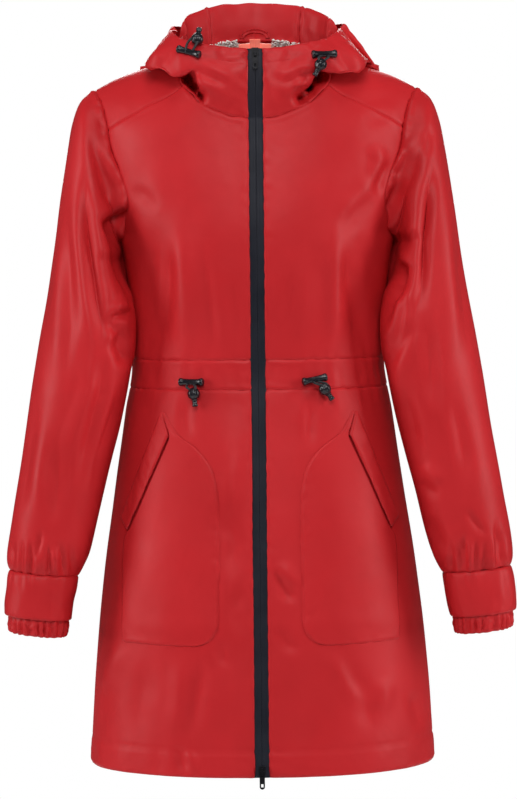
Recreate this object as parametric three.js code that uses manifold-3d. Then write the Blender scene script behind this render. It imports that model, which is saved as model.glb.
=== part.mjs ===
// A women's hooded raincoat, worn by nobody: zipped shut, hood down, sleeves hanging a little forward.
// Millimetres, +Z up, front towards -Y. The origin is at the middle of the shoulders, at neck height.
import * as THREE from 'three';
import { mergeVertices } from 'three/addons/utils/BufferGeometryUtils.js';
import Module from 'manifold-3d';

const wasm = await Module();
wasm.setup();

const WALL = 1.4; // coated cloth with its backing
const SEAM_TRIM = 0.2; // each piece stops this far before a seam, on its outer face
const SEAM_BEVEL = 0.45; // and this much further before it on its inner face
const LAID_GAP = 0.35; // between a panel and what is sewn flat on it
const CORNER_POWER = 2.15; // how square the torso's rings are: 2 is an ellipse
const SHOULDER_ROUND = 105; // how far below the shoulder ridge the chest reaches its full depth
const ZIP_HALF = 8.9; // half the width of the zip that shows between the fronts
const HEM_Z = -874;
const WAIST_TOP_Z = -371;
const WAIST_LOW_Z = -407;
const SIDE_SEAM_Y = 4;

const RED = { color: 0xc22c30, roughness: 0.42, metalness: 0 };
const DARK_RED = { color: 0xb02428, roughness: 0.5, metalness: 0 };
const ZIP_BLACK = { color: 0x24262e, roughness: 0.45, metalness: 0 };
const HARD_BLACK = { color: 0x15161c, roughness: 0.3, metalness: 0 };
const CORAL = { color: 0xff6a5c, roughness: 0.7, metalness: 0 };
const FLEECE = { color: 0xc8b9aa, roughness: 0.95, metalness: 0 };

const group = new THREE.Group();

// Half-width and half-depths of the torso and skirt, by height.
const TORSO = [
  // z, halfWidth, front, back
  [60, 212, 104, 96],
  [0, 212, 106, 100],
  [-60, 208, 110, 104],
  [-110, 197, 117, 108],
  [-165, 184, 125, 110],
  [-219, 167, 130, 110],
  [-290, 156, 126, 106],
  [-345, 153, 119, 103],
  [-389, 157, 117, 104],
  [-440, 166, 122, 112],
  [-530, 179, 132, 126],
  [-640, 195, 142, 138],
  [-760, 208, 150, 148],
  [-874, 216, 157, 155],
];

// Height of the shoulder ridge, by distance from the middle. Inside the neck hole it is only a guide.
const RIDGE = [
  // x, z
  [0, 60],
  [48, 44],
  [75, 20],
  [97, 1],
  [136, -11],
  [170, -23],
  [199, -37],
  [230, -52],
];

// The neck seam seen from the front, from the zip round to the middle of the back.
const NECK = [
  // x, z
  [ZIP_HALF, -78],
  [33, -74],
  [62, -61],
  [80, -46],
  [92, -27],
  [98.5, 0.4],
  [88, 5],
  [48, 24],
  [0, 29],
];
const NECK_RIDGE_SHARE = 5 / 8; // how far round the neck its seam crosses the shoulder ridge
const NECK_YOKE_SHARES = [3.6 / 8, 5.6 / 8]; // where the yoke's two seams meet it
const NECK_FRONT_STEPS = 6;
const NECK_YOKE_STEPS = 4;
const NECK_BACK_STEPS = 6;
const NECK_STEPS = NECK_FRONT_STEPS + NECK_YOKE_STEPS + NECK_BACK_STEPS;

// The armhole seam seen from the front, from the shoulder tip down to the armpit.
const ARMHOLE_FRONT = [
  // x, z
  [199, -37],
  [189, -58],
  [182, -85],
  [177, -114],
  [166, -142],
  [157, -176],
  [154, -206],
  [163, -222],
];
const ARMHOLE_BACK = [
  // x, z
  [199, -37],
  [194, -60],
  [190, -88],
  [186, -118],
  [178, -148],
  [169, -180],
  [163, -208],
  [163, -222],
];
const ARMHOLE_STEPS = 20; // round the whole armhole
const YOKE_ARM_FRONT = 3; // armhole steps from the shoulder tip to the front yoke seam
const YOKE_ARM_BACK = 1;
const YOKE_SEAM_STEPS = 4;

/** A smooth curve through rows of numbers: the row at a place u along them, from 0 to 1. */
function through(rows, u) {
  const last = rows.length - 1;
  const at = Math.min(Math.max(u, 0), 1) * last;
  const k = Math.min(Math.floor(at), last - 1);
  const t = at - k;
  const [a, b, c, d] = [rows[Math.max(k - 1, 0)], rows[k], rows[k + 1], rows[Math.min(k + 2, last)]];
  return b.map((value, n) => {
    const slopeStart = (c[n] - a[n]) / 2;
    const slopeEnd = (d[n] - value) / 2;
    const rise = c[n] - value;
    const bend = 3 * rise - 2 * slopeStart - slopeEnd;
    return value + t * (slopeStart + t * (bend + t * (slopeStart + slopeEnd - 2 * rise)));
  });
}

/** A table read smoothly by its first column, rising or falling: the other columns at x. */
function table(rows, x) {
  const rising = rows[1][0] > rows[0][0] ? 1 : -1;
  const last = rows.length - 1;
  let k = 0;
  while (k < last - 1 && (x - rows[k + 1][0]) * rising > 0) k += 1;
  const [b, c] = [rows[k], rows[k + 1]];
  const a = rows[Math.max(k - 1, 0)];
  const d = rows[Math.min(k + 2, last)];
  const span = c[0] - b[0];
  const t = Math.min(Math.max((x - b[0]) / span, 0), 1);
  return b.slice(1).map((value, i) => {
    const n = i + 1;
    const slope = (p, q) => (q[0] === p[0] ? 0 : (q[n] - p[n]) / (q[0] - p[0]));
    const start = slope(a, c) * span;
    const end = slope(b, d) * span;
    const rise = c[n] - value;
    return value + t * (start + t * (3 * rise - 2 * start - end + t * (start + end - 2 * rise)));
  });
}

const lerp = (a, b, t) => a + (b - a) * t;
const mix = (p, q, t) => p.map((value, n) => lerp(value, q[n], t));
const steps = (count) => Array.from({ length: count + 1 }, (_, i) => i / count);

/** How far the shoulder's rounding lets the cloth reach at x and z, from 0 on the ridge to 1. */
function shoulderReach(x, z) {
  const [ridge] = table(RIDGE, Math.abs(x));
  const drop = Math.min(Math.max(ridge - z, 0), SHOULDER_ROUND);
  return Math.sqrt(1 - (1 - drop / SHOULDER_ROUND) ** 2);
}

/** The torso's surface by angle round it (0 front, 90 the wearer's left, 180 back) and height. */
function torso(angle, z) {
  const [halfWidth, front, back] = table(TORSO, z);
  const sine = Math.sin(angle);
  const cosine = Math.cos(angle);
  const x = halfWidth * Math.sign(sine) * Math.abs(sine) ** (2 / CORNER_POWER);
  const depth = (cosine > 0 ? front : back) * Math.abs(cosine) ** (2 / CORNER_POWER) * shoulderReach(x, z);
  return [x, SIDE_SEAM_Y - Math.sign(cosine) * depth, z];
}

/** The angle at which the torso's surface has this x at this height, on the front or the back. */
function torsoAngle(x, z, side) {
  const [halfWidth] = table(TORSO, z);
  const angle = Math.asin(Math.min((Math.abs(x) / halfWidth) ** (CORNER_POWER / 2), 1));
  return Math.sign(x || 1) * (side < 0 ? angle : Math.PI - angle);
}

/** A point of the torso's surface seen from the front or back at x and z. */
const onTorso = (x, z, side) => torso(torsoAngle(x, z, side), z);

/** The torso's point and outward direction at x and z, moved out by lift. */
function liftedTorso(x, z, side, lift) {
  const here = new THREE.Vector3(...onTorso(x, z, side));
  const across = new THREE.Vector3(...onTorso(x + 1, z, side)).sub(here);
  const down = new THREE.Vector3(...onTorso(x, z - 1, side)).sub(here);
  const out = across.cross(down).normalize();
  if (out.y * side < 0) out.negate();
  return here.addScaledVector(out, lift).toArray();
}

/** Outward normals of a grid of points, turned so that they follow the sign given. */
function gridNormals(grid, closed, sign) {
  const rows = grid.length;
  const columns = grid[0].length;
  return grid.map((row, i) => row.map((_, j) => {
    const before = closed ? (j + columns - 1) % columns : Math.max(j - 1, 0);
    const after = closed ? (j + 1) % columns : Math.min(j + 1, columns - 1);
    const across = new THREE.Vector3().subVectors(grid[i][after], grid[i][before]);
    const [above, below] = [grid[Math.max(i - 1, 0)][j], grid[Math.min(i + 1, rows - 1)][j]];
    const down = new THREE.Vector3().subVectors(below, above);
    return across.cross(down).normalize().multiplyScalar(sign);
  }));
}

/** Moves a grid's border inwards along the grid, by the amounts for its rows' and columns' ends. */
function trimmed(grid, closed, amount) {
  const result = grid.map((row) => row.map((point) => point.clone()));
  const pull = (point, inner) => {
    const way = new THREE.Vector3().subVectors(inner, point);
    const length = way.length();
    if (length > 1e-6) point.addScaledVector(way, Math.min(amount / length, 0.45));
  };
  const last = grid.length - 1;
  grid[0].forEach((_, j) => {
    pull(result[0][j], grid[1][j]);
    pull(result[last][j], grid[last - 1][j]);
  });
  if (!closed) {
    const end = grid[0].length - 1;
    result.forEach((row) => {
      pull(row[0], row[1].clone());
      pull(row[end], row[end - 1].clone());
    });
  }
  return result;
}

/** A closed wall of cloth from a grid of points on its outer face. */
function clothWall(points, options = {}) {
  const { closed = false, thickness = WALL, sign = 1, trim = SEAM_TRIM, bevel = SEAM_BEVEL } = options;
  const grid = points.map((row) => row.map((point) => new THREE.Vector3(...point)));
  const normals = gridNormals(grid, closed, sign);
  const movedIn = (point, i, j) => point.clone().addScaledVector(normals[i][j], -thickness);
  const inside = grid.map((row, i) => row.map((point, j) => movedIn(point, i, j)));
  const outerFace = trimmed(grid, closed, trim);
  const innerFace = trimmed(inside, closed, trim + bevel);
  const rows = grid.length;
  const columns = grid[0].length;
  const positions = [...outerFace, ...innerFace].flatMap((row) => row.flatMap((point) => point.toArray()));
  const half = rows * columns;
  const index = [];
  const quad = (a, b, c, d) => index.push(a, b, c, a, c, d);
  const face = (i, j, layer) => layer * half + i * columns + (j % columns);
  const last = columns - 1;
  const across = closed ? columns : last;
  for (let i = 0; i < rows - 1; i += 1) {
    for (let j = 0; j < across; j += 1) {
      quad(face(i, j, 0), face(i, j + 1, 0), face(i + 1, j + 1, 0), face(i + 1, j, 0));
      quad(face(i, j, 1), face(i + 1, j, 1), face(i + 1, j + 1, 1), face(i, j + 1, 1));
    }
  }
  for (let j = 0; j < across; j += 1) {
    quad(face(0, j, 1), face(0, j + 1, 1), face(0, j + 1, 0), face(0, j, 0));
    quad(face(rows - 1, j, 0), face(rows - 1, j + 1, 0), face(rows - 1, j + 1, 1), face(rows - 1, j, 1));
  }
  if (!closed) {
    for (let i = 0; i < rows - 1; i += 1) {
      quad(face(i, 0, 0), face(i + 1, 0, 0), face(i + 1, 0, 1), face(i, 0, 1));
      quad(face(i, last, 1), face(i + 1, last, 1), face(i + 1, last, 0), face(i, last, 0));
    }
  }
  const geometry = new THREE.BufferGeometry();
  geometry.setAttribute('position', new THREE.Float32BufferAttribute(positions, 3));
  geometry.setIndex(index);
  return facingOut(geometry);
}

/** The same closed shape with its faces turned to point out. */
function facingOut(geometry) {
  const position = geometry.attributes.position;
  const index = geometry.index.array;
  let volume = 0;
  const corner = (n) => new THREE.Vector3().fromBufferAttribute(position, index[n]);
  for (let n = 0; n < index.length; n += 3) {
    volume += corner(n).dot(corner(n + 1).cross(corner(n + 2)));
  }
  if (volume < 0) {
    for (let n = 0; n < index.length; n += 3) {
      [index[n + 1], index[n + 2]] = [index[n + 2], index[n + 1]];
    }
  }
  geometry.computeVertexNormals();
  return geometry;
}

function addPiece(name, geometry, look) {
  const mesh = new THREE.Mesh(geometry, new THREE.MeshStandardMaterial(look));
  mesh.name = name;
  group.add(mesh);
  return mesh;
}

/** The same grid on the wearer's other side. */
const mirrored = (grid) => grid.map((row) => row.map(([x, y, z]) => [-x, y, z]));

/** Adds a piece and its mirror image. The names' ends say the side as the wearer has it. */
function addPair(name, points, look, options = {}) {
  addPiece(`${name}_left`, clothWall(points, options), look);
  const { sign = 1 } = options;
  addPiece(`${name}_right`, clothWall(mirrored(points), { ...options, sign: -sign }), look);
}

/** Fills a four-sided patch from its borders, each a list of number rows. */
function filled(top, bottom, left, right) {
  const rows = left.length - 1;
  const columns = top.length - 1;
  return left.map((_, i) => top.map((__, j) => {
    const u = j / columns;
    const v = i / rows;
    return top[j].map((value, n) => {
      const alongRows = lerp(left[i][n], right[i][n], u);
      const alongColumns = lerp(value, bottom[j][n], v);
      const cornersAbove = lerp(top[0][n], top[columns][n], u);
      const cornersBelow = lerp(bottom[0][n], bottom[columns][n], u);
      return alongRows + alongColumns - lerp(cornersAbove, cornersBelow, v);
    });
  }));
}

/** Where a neck step lies round the neck seam, from 0 at the zip to 1 at the middle of the back. */
function neckShare(step) {
  const [yokeStart, yokeEnd] = NECK_YOKE_SHARES;
  const pastFront = step - NECK_FRONT_STEPS;
  const pastYoke = pastFront - NECK_YOKE_STEPS;
  if (pastFront <= 0) return (step / NECK_FRONT_STEPS) * yokeStart;
  if (pastYoke <= 0) return lerp(yokeStart, yokeEnd, pastFront / NECK_YOKE_STEPS);
  return lerp(yokeEnd, 1, pastYoke / NECK_BACK_STEPS);
}

// Seams that several pieces share, each worked out once.
const neckShares = steps(NECK_STEPS).map((_, i) => neckShare(i));
const neckRows = neckShares.map((share) => [...through(NECK, share), share <= NECK_RIDGE_SHARE ? -1 : 1]);
const neckSeam = neckRows.map(([x, z, side]) => onTorso(x, z, side));

const halfArmhole = ARMHOLE_STEPS / 2;
const armholeFront = steps(halfArmhole).map((u) => through(ARMHOLE_FRONT, u));
const armholeBack = steps(halfArmhole).map((u) => through(ARMHOLE_BACK, u));
const ARMPIT_ANGLE = Math.PI / 2;

/** Angle and height of an armhole row. Near the armpit it closes on the side seam. */
const armholeAngles = (rows, side) => rows.map(([x, z], i) => {
  const seen = torsoAngle(x, z, side);
  const toArmpit = Math.max(0, (i / halfArmhole - 0.7) / 0.3) ** 1.6;
  return [lerp(seen, ARMPIT_ANGLE, toArmpit), z];
});
const armFrontAngles = armholeAngles(armholeFront, -1);
const armBackAngles = armholeAngles(armholeBack, 1);
const atAngles = ([angle, z]) => torso(angle, z);
const armFrontSeam = armFrontAngles.map(atAngles);
const armBackSeam = armBackAngles.map(atAngles);

const neckAngles = neckRows.map(([x, z, side]) => [torsoAngle(x, z, side), z]);
const zipAngle = (z) => torsoAngle(ZIP_HALF, z, -1);
const SIDE_STEPS = 5;
const armpitZ = armFrontAngles[halfArmhole][1];
const sideSeam = steps(SIDE_STEPS).map((t) => [ARMPIT_ANGLE, lerp(armpitZ, WAIST_TOP_Z, t)]);
const FRONT_COLUMNS = NECK_FRONT_STEPS + YOKE_SEAM_STEPS;
const BACK_COLUMNS = NECK_BACK_STEPS + YOKE_SEAM_STEPS;
const frontSpread = steps(FRONT_COLUMNS);
const backSpread = steps(BACK_COLUMNS);
const frontLevel = (z) => frontSpread.map((t) => [lerp(zipAngle(z), ARMPIT_ANGLE, t), z]);
const backLevel = (z) => backSpread.map((t) => [lerp(Math.PI, ARMPIT_ANGLE, t), z]);

// The yoke lies over the ridge, so its points go by x and by how far round the ridge they are.
function ridgeTurn(x, z, side) {
  const [ridge] = table(RIDGE, x);
  const drop = Math.min(Math.max(ridge - z, 0), SHOULDER_ROUND);
  return side * Math.acos(1 - drop / SHOULDER_ROUND);
}
function onRidge([x, turn]) {
  const [ridge] = table(RIDGE, x);
  const z = ridge - SHOULDER_ROUND * (1 - Math.cos(turn));
  return onTorso(x, z, turn < 0 ? -1 : 1);
}
const yokeNeck = neckRows.slice(NECK_FRONT_STEPS, NECK_FRONT_STEPS + NECK_YOKE_STEPS + 1)
  .map(([x, z, side]) => [x, ridgeTurn(x, z, side)]);
const yokeArm = [
  ...armholeFront.slice(0, YOKE_ARM_FRONT + 1).reverse().map(([x, z]) => [x, ridgeTurn(x, z, -1)]),
  ...armholeBack.slice(1, YOKE_ARM_BACK + 1).map(([x, z]) => [x, ridgeTurn(x, z, 1)]),
];
const yokeFrontSeam = steps(YOKE_SEAM_STEPS).map((t) => mix(yokeNeck[0], yokeArm[0], t));
const yokeBackEnds = [yokeNeck[NECK_YOKE_STEPS], yokeArm[NECK_YOKE_STEPS]];
const yokeBackSeam = steps(YOKE_SEAM_STEPS).map((t) => mix(...yokeBackEnds, t));
const yokeGrid = filled(yokeFrontSeam, yokeBackSeam, yokeNeck, yokeArm).map((row) => row.map(onRidge));
addPair('yoke', yokeGrid, RED);

/** Angle and height of a point given by x and its turn round the ridge. */
function ridgeToAngles([x, turn]) {
  const [ridge] = table(RIDGE, x);
  const z = ridge - SHOULDER_ROUND * (1 - Math.cos(turn));
  return [torsoAngle(x, z, turn < 0 ? -1 : 1), z];
}

// Front upper: neck and yoke seam on top, zip, waist seam, armhole and side seam.
const frontTop = [...neckAngles.slice(0, NECK_FRONT_STEPS), ...yokeFrontSeam.map(ridgeToAngles)];
const frontRight = [...armFrontAngles.slice(YOKE_ARM_FRONT), ...sideSeam.slice(1)];
const frontLeft = steps(frontRight.length - 1).map((t) => {
  const z = lerp(NECK[0][1], WAIST_TOP_Z, t);
  return [zipAngle(z), z];
});
const frontGrid = filled(frontTop, frontLevel(WAIST_TOP_Z), frontLeft, frontRight);
addPair('front_upper', frontGrid.map((row) => row.map(atAngles)), RED, { sign: -1 });

// Back upper: one piece, built from its middle to one side and mirrored.
const backTop = [
  ...neckAngles.slice(NECK_FRONT_STEPS + NECK_YOKE_STEPS).reverse(),
  ...yokeBackSeam.slice(1).map(ridgeToAngles),
];
const backRight = [...armBackAngles.slice(YOKE_ARM_BACK), ...sideSeam.slice(1)];
const backLeft = steps(backRight.length - 1)
  .map((t) => [Math.PI, lerp(backTop[0][1], WAIST_TOP_Z, t ** 1.5)]);
const backHalf = filled(backTop, backLevel(WAIST_TOP_Z), backLeft, backRight)
  .map((row) => row.map(atAngles));

/** A grid from its middle column out to one side, joined with its mirror image into one. */
const otherSide = ([x, y, z]) => [-x, y, z];
const bothSides = (grid) => grid.map((row) => [...row.slice(1).reverse().map(otherSide), ...row]);
addPiece('back_upper', clothWall(bothSides(backHalf), { sign: 1 }), RED);

// Waist casing and skirt, in the same columns as the uppers.
const casingLevels = steps(2).map((t) => lerp(WAIST_TOP_Z, WAIST_LOW_Z, t));
addPair('waist_casing_front', casingLevels.map((z) => frontLevel(z).map(atAngles)), RED, { sign: -1 });
const casingBack = casingLevels.map((z) => backLevel(z).map(atAngles));
addPiece('waist_casing_back', clothWall(bothSides(casingBack)), RED);
const SKIRT_STEPS = 9;
const skirtLevels = steps(SKIRT_STEPS).map((t) => lerp(WAIST_LOW_Z, HEM_Z, t));
addPair('skirt_front', skirtLevels.map((z) => frontLevel(z).map(atAngles)), RED, { sign: -1 });
const skirtBack = skirtLevels.map((z) => backLevel(z).map(atAngles));
addPiece('skirt_back', clothWall(bothSides(skirtBack)), RED);

// Sleeves: rings between the armhole seam and the cuff.
const SLEEVE = [
  // outer x, outer z, inner x, inner z, middle y, half depth, how far forward the inner side lies
  [216, -50, 169, -230, 2, 62, 0],
  [227, -76, 168, -241, 1, 67, 4],
  [234, -112, 166, -254, -1, 69, 10],
  [243, -172, 162, -272, -6, 70, 18],
  [252, -240, 157, -298, -14, 68, 26],
  [261, -300, 154, -332, -27, 64, 26],
  [271, -357, 157, -375, -38, 61, 18],
  [281, -420, 169, -438, -46, 59, 8],
  [290, -480, 182, -489, -52, 56, 0],
  [300, -540, 194, -537, -57, 53, 0],
  [309, -592, 206, -588, -60, 50, 0],
  [311, -616, 214, -614, -62, 47, 0],
  [308, -628, 226, -636, -62, 38, 0],
];
const CUFF = [
  // outer x, outer z, inner x, inner z, middle y, half depth, how far forward the inner side lies
  [308, -628, 226, -636, -62, 38, 0],
  [311, -640, 227, -648, -62.5, 39.5, 0],
  [314, -662, 231, -670, -63.5, 39.5, 0],
  [315, -682, 235, -690, -64, 38, 0],
];
const SLEEVE_POWER = 2.1;

/** A ring of a sleeve section: from its outer point round the front to its inner point and back. */
function sleeveRing([outerX, outerZ, innerX, innerZ, middleY, halfDepth, forward], count) {
  return steps(count).slice(0, count).map((turn) => {
    const angle = turn * 2 * Math.PI;
    const cosine = Math.cos(angle);
    const sine = Math.sin(angle);
    const along = Math.sign(cosine) * Math.abs(cosine) ** (2 / SLEEVE_POWER);
    const reach = Math.sign(sine) * Math.abs(sine) ** (2 / SLEEVE_POWER);
    return [
      (outerX + innerX) / 2 + ((outerX - innerX) / 2) * along,
      middleY - halfDepth * reach - (forward * (1 - along)) / 2,
      (outerZ + innerZ) / 2 + ((outerZ - innerZ) / 2) * along,
    ];
  });
}
const armholeRing = [...armFrontSeam, ...armBackSeam.slice(1, -1).reverse()];
const sleeveGrid = [armholeRing, ...SLEEVE.map((row) => sleeveRing(row, ARMHOLE_STEPS))];
addPair('sleeve', sleeveGrid, RED, { closed: true });
addPair('cuff', CUFF.map((row) => sleeveRing(row, ARMHOLE_STEPS)), RED, { closed: true });

// The gathered inner cuff starts inside the outer one and shows below it.
const INNER_CUFF = [
  // outer x, outer z, inner x, inner z, middle y, half depth, inner side forward, gather height
  [309.5, -668, 237.5, -675, -63.6, 34.5, 0, 0.8],
  [310, -692, 239.5, -699, -64, 33.8, 0, 1.8],
  [307.5, -704, 240.5, -711, -64, 32.5, 0, 1.2],
];
const GATHERS = 16;
const GATHER_STEPS = GATHERS * 3;
const innerCuffGrid = INNER_CUFF.map((row) => {
  const gather = row[7];
  return sleeveRing(row, GATHER_STEPS).map(([x, y, z], j) => {
    const centreX = (row[0] + row[2]) / 2;
    const swell = 1 + (gather * Math.cos((2 * Math.PI * j) / 3)) / row[5];
    return [lerp(centreX, x, swell), lerp(row[4], y, swell), z];
  });
});
addPair('inner_cuff', innerCuffGrid, RED, { closed: true, thickness: 1.1 });

// The hood, folded down. Each station round the neck has a profile from the neck seam to the opening.
const HOOD_STATIONS = [
  // out from the neck seam and height: inner stand, fold, inner fall, pouch bottom, outer rise, opening
  [1.5, -62, 2.5, -47, 2.5, -33, 1.5, -19, -0.5, -6, -4, 6],
  [3, -59, 5, -45, 6, -32, 5, -18, 2, -5, -4, 8],
  [3, -48, 4, -36, 6, -25, 7, -13, 3, 1, -6, 13],
  [-10, -36, -10, -20, 3, -13, 17, -24, 15, -4, 1, 17],
  [-6, -16, -3, 0, 14, -4, 34, -22, 28, 0, 6, 26],
  [-6, 16, -5, 33, 12, 14, 41, -5, 28, 12, 8, 38],
  [-3, 32, 4, 54, 28, 8, 60, -36, 52, 0, 24, 46],
  [0, 50, 10, 69, 42, -20, 80, -130, 96, -50, 56, 48],
  [2, 54, 12, 73, 44, -30, 68, -158, 96, -90, 62, 50],
];
const NECK_CENTRE_Y = -14;
const HOOD_CLEAR = 9; // between the folded hood and the shoulders
const HOOD_SEAM_SHARE = 0.2; // the share of its profile in which it leaves the neck seam
const HOOD_LENGTH_STEPS = 19;

/** The height of the shoulders' surface above x and y. */
function shoulderTop(x, y) {
  const side = y < SIDE_SEAM_Y ? -1 : 1;
  let [low, high] = [-SHOULDER_ROUND - 120, table(RIDGE, Math.abs(x))[0]];
  while (high - low > 0.05) {
    const middle = (low + high) / 2;
    if (Math.abs(onTorso(x, middle, side)[1] - SIDE_SEAM_Y) > Math.abs(y - SIDE_SEAM_Y)) low = middle;
    else high = middle;
  }
  return low;
}

/** The point, moved up or outwards, whichever is less, until it is clear of the shoulders. */
function clearOfShoulders([x, y, z], clear) {
  const side = y < SIDE_SEAM_Y ? -1 : 1;
  const lift = shoulderTop(x, y) + clear - z;
  const out = Math.abs(onTorso(x, z, side)[1] - SIDE_SEAM_Y) + clear - Math.abs(y - SIDE_SEAM_Y);
  if (lift <= 0 || out <= 0) return [x, y, z];
  return lift < out ? [x, y, z + lift] : [x, y + side * out, z];
}

/** The hood's surface at a neck seam column, u from the front to the back, and s up the profile. */
function hoodColumn(seamPoint, u) {
  const row = through(HOOD_STATIONS, u);
  const [x, y, z] = seamPoint;
  const radius = Math.hypot(x, y - NECK_CENTRE_Y);
  const way = [x / radius, (y - NECK_CENTRE_Y) / radius];
  const profile = [[0, z]];
  for (let n = 0; n < row.length; n += 2) profile.push([row[n], row[n + 1]]);
  return steps(HOOD_LENGTH_STEPS).map((s) => {
    const [out, height] = through(profile, s);
    const clear = HOOD_CLEAR * Math.min(s / HOOD_SEAM_SHARE, 1);
    return clearOfShoulders([x + way[0] * out, y + way[1] * out, height], clear);
  });
}
const hoodColumns = neckSeam.map((point, i) => hoodColumn(point, neckShares[i]));
const HOOD_SEAM_COLUMN = NECK_STEPS - 3;
const asRows = (columns) => columns[0].map((_, i) => columns.map((column) => column[i]));
addPair('hood_side', asRows(hoodColumns.slice(0, HOOD_SEAM_COLUMN + 1)), RED);
const centreHalf = hoodColumns.slice(HOOD_SEAM_COLUMN).reverse();
addPiece('hood_centre', clothWall(bothSides(asRows(centreHalf)), { sign: -1 }), RED);

// Zip: two tapes that meet in the middle, from the hem to the top of the collar.
const TAPE_INNER_X = 0.35;
const TAPE_ROWS_LOW = 15;
const tapeLevels = steps(TAPE_ROWS_LOW).map((t) => lerp(HEM_Z, NECK[0][1], t));
const tapeXs = [TAPE_INNER_X, (TAPE_INNER_X + ZIP_HALF) / 2, ZIP_HALF];
const COLLAR_ROW_SKIP = 3; // every third point of the collar's profile is enough for the tape
const tapeOnCollar = hoodColumns[0]
  .filter((_, i) => i > 0 && (HOOD_LENGTH_STEPS - i) % COLLAR_ROW_SKIP === 0);
const tapeGrid = [
  ...tapeLevels.map((z) => tapeXs.map((x) => onTorso(x, z, -1))),
  ...tapeOnCollar.map(([, y, z]) => tapeXs.map((x) => [x, y, z])),
];
addPair('zip_tape', tapeGrid, ZIP_BLACK);

// Pockets: a patch on each front skirt, with a slanting welt along its opening.
const POCKET = [
  // z, edge towards the zip, edge towards the side
  [-435, 113, 115.5],
  [-450, 105, 111.5],
  [-464, 95, 107.5],
  [-477, 76, 112],
  [-496, 60, 120.5],
  [-515, 52.5, 129],
  [-540, 49.5, 140],
  [-576, 49.3, 156],
  [-590, 49.3, 165],
  [-650, 49.6, 167],
  [-690, 51, 168],
  [-704, 56.5, 168],
  [-712, 65, 168],
  [-716, 79, 167],
];
const POCKET_COLUMNS = 6;
const POCKET_GAP = 1.3; // between the skirt and what is sewn on it, wide enough for its facets
const pocketGrid = POCKET.map(([z, near, far]) => steps(POCKET_COLUMNS)
  .map((t) => liftedTorso(lerp(near, far, t), z, -1, POCKET_GAP + WALL)));
addPair('pocket', pocketGrid, RED, { sign: -1 });
const WELT_THICKNESS = 2.4;
const WELT_EDGES = [
  // x and z of the edge at the slit, x and z of the outer edge
  [109.3, -463, 118.5, -434],
  [160.5, -579, 170.5, -566],
];
const WELT_STEPS = 6;
const weltGrid = steps(WELT_STEPS).map((t) => {
  const [slitX, slitZ, outerX, outerZ] = mix(WELT_EDGES[0], WELT_EDGES[1], t);
  return steps(2).map((across) => liftedTorso(
    lerp(slitX, outerX, across), lerp(slitZ, outerZ, across), -1, POCKET_GAP + WELT_THICKNESS));
});
addPair('pocket_welt', weltGrid, RED, { sign: -1, thickness: WELT_THICKNESS });

/** A manifold solid from a three.js geometry. */
function solidOf(geometry) {
  const plain = geometry.index ? geometry.clone() : geometry;
  for (const key of Object.keys(plain.attributes)) {
    if (key !== 'position') plain.deleteAttribute(key);
  }
  const merged = mergeVertices(plain, 1e-3);
  return new wasm.Manifold(new wasm.Mesh({
    numProp: 3,
    vertProperties: new Float32Array(merged.attributes.position.array),
    triVerts: new Uint32Array(merged.index.array),
  }));
}

/** The geometry of a manifold solid. */
function geometryOf(solid) {
  const mesh = solid.getMesh();
  const geometry = new THREE.BufferGeometry();
  geometry.setAttribute('position', new THREE.Float32BufferAttribute(mesh.vertProperties, 3));
  geometry.setIndex(Array.from(mesh.triVerts));
  geometry.computeVertexNormals();
  return geometry;
}

const joined = (...geometries) => geometryOf(
  geometries.map(solidOf).reduce((whole, next) => whole.add(next)),
);
const block = (width, depth, height, x, y, z) => (
  new THREE.BoxGeometry(width, depth, height).translate(x, y, z)
);

// Back neck inside: a fleece facing, a plain coral tape across its middle, a tab and a hanger loop.
const FACING_THICKNESS = 2.2;
const FACING_DROPS = [1.5, 8, 18, 30];
const FACING_START = 0.8; // share of the way round the neck
const FACING_GAP = 1.4; // the back's wall is faceted where it rolls to the neck
const INNER_GAP = WALL + FACING_GAP;
const facingShares = steps(5).map((t) => lerp(FACING_START, 1, t));

/** A grid just inside the back neck, from the middle to one side, at these drops below the seam. */
function insideBackNeck(shares, drops, lift) {
  return drops.map((drop) => shares.map((share) => {
    const [x, z] = through(NECK, share);
    return liftedTorso(x, z - drop, 1, -lift);
  }));
}
const facingHalf = insideBackNeck([...facingShares].reverse(), FACING_DROPS, INNER_GAP);
addPiece('fleece_facing', clothWall(bothSides(facingHalf), { thickness: FACING_THICKNESS }), FLEECE);
const TAPE_THICKNESS = 1;
const TAPE_DROPS = [2.5, 9, 16];
const TAPE_SHARES = [1, 0.975, 0.945];
const neckTapeLift = INNER_GAP + FACING_THICKNESS + LAID_GAP;
const neckTapeHalf = insideBackNeck(TAPE_SHARES, TAPE_DROPS, neckTapeLift);
addPiece('neck_tape', clothWall(bothSides(neckTapeHalf), { thickness: TAPE_THICKNESS }), CORAL);

const TAB_HALF_WIDTH = 8;
const TAB_THICKNESS = 0.8;
const TAB_RISE = 5; // above the tape
const tabLift = neckTapeLift + TAPE_THICKNESS + LAID_GAP;
const tabColumns = steps(2).map((t) => lerp(-TAB_HALF_WIDTH, TAB_HALF_WIDTH, t));
const tabRows = TAPE_DROPS.map((drop) => tabColumns
  .map((x) => liftedTorso(x, NECK.at(-1)[1] - drop - 1, 1, -tabLift)));
const tabTop = tabRows[0].map(([x, y, z]) => [x, y - TAB_RISE * 0.4, z + TAB_RISE]);
addPiece('label_tab', clothWall([tabTop, ...tabRows], { thickness: TAB_THICKNESS }), CORAL);

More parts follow.
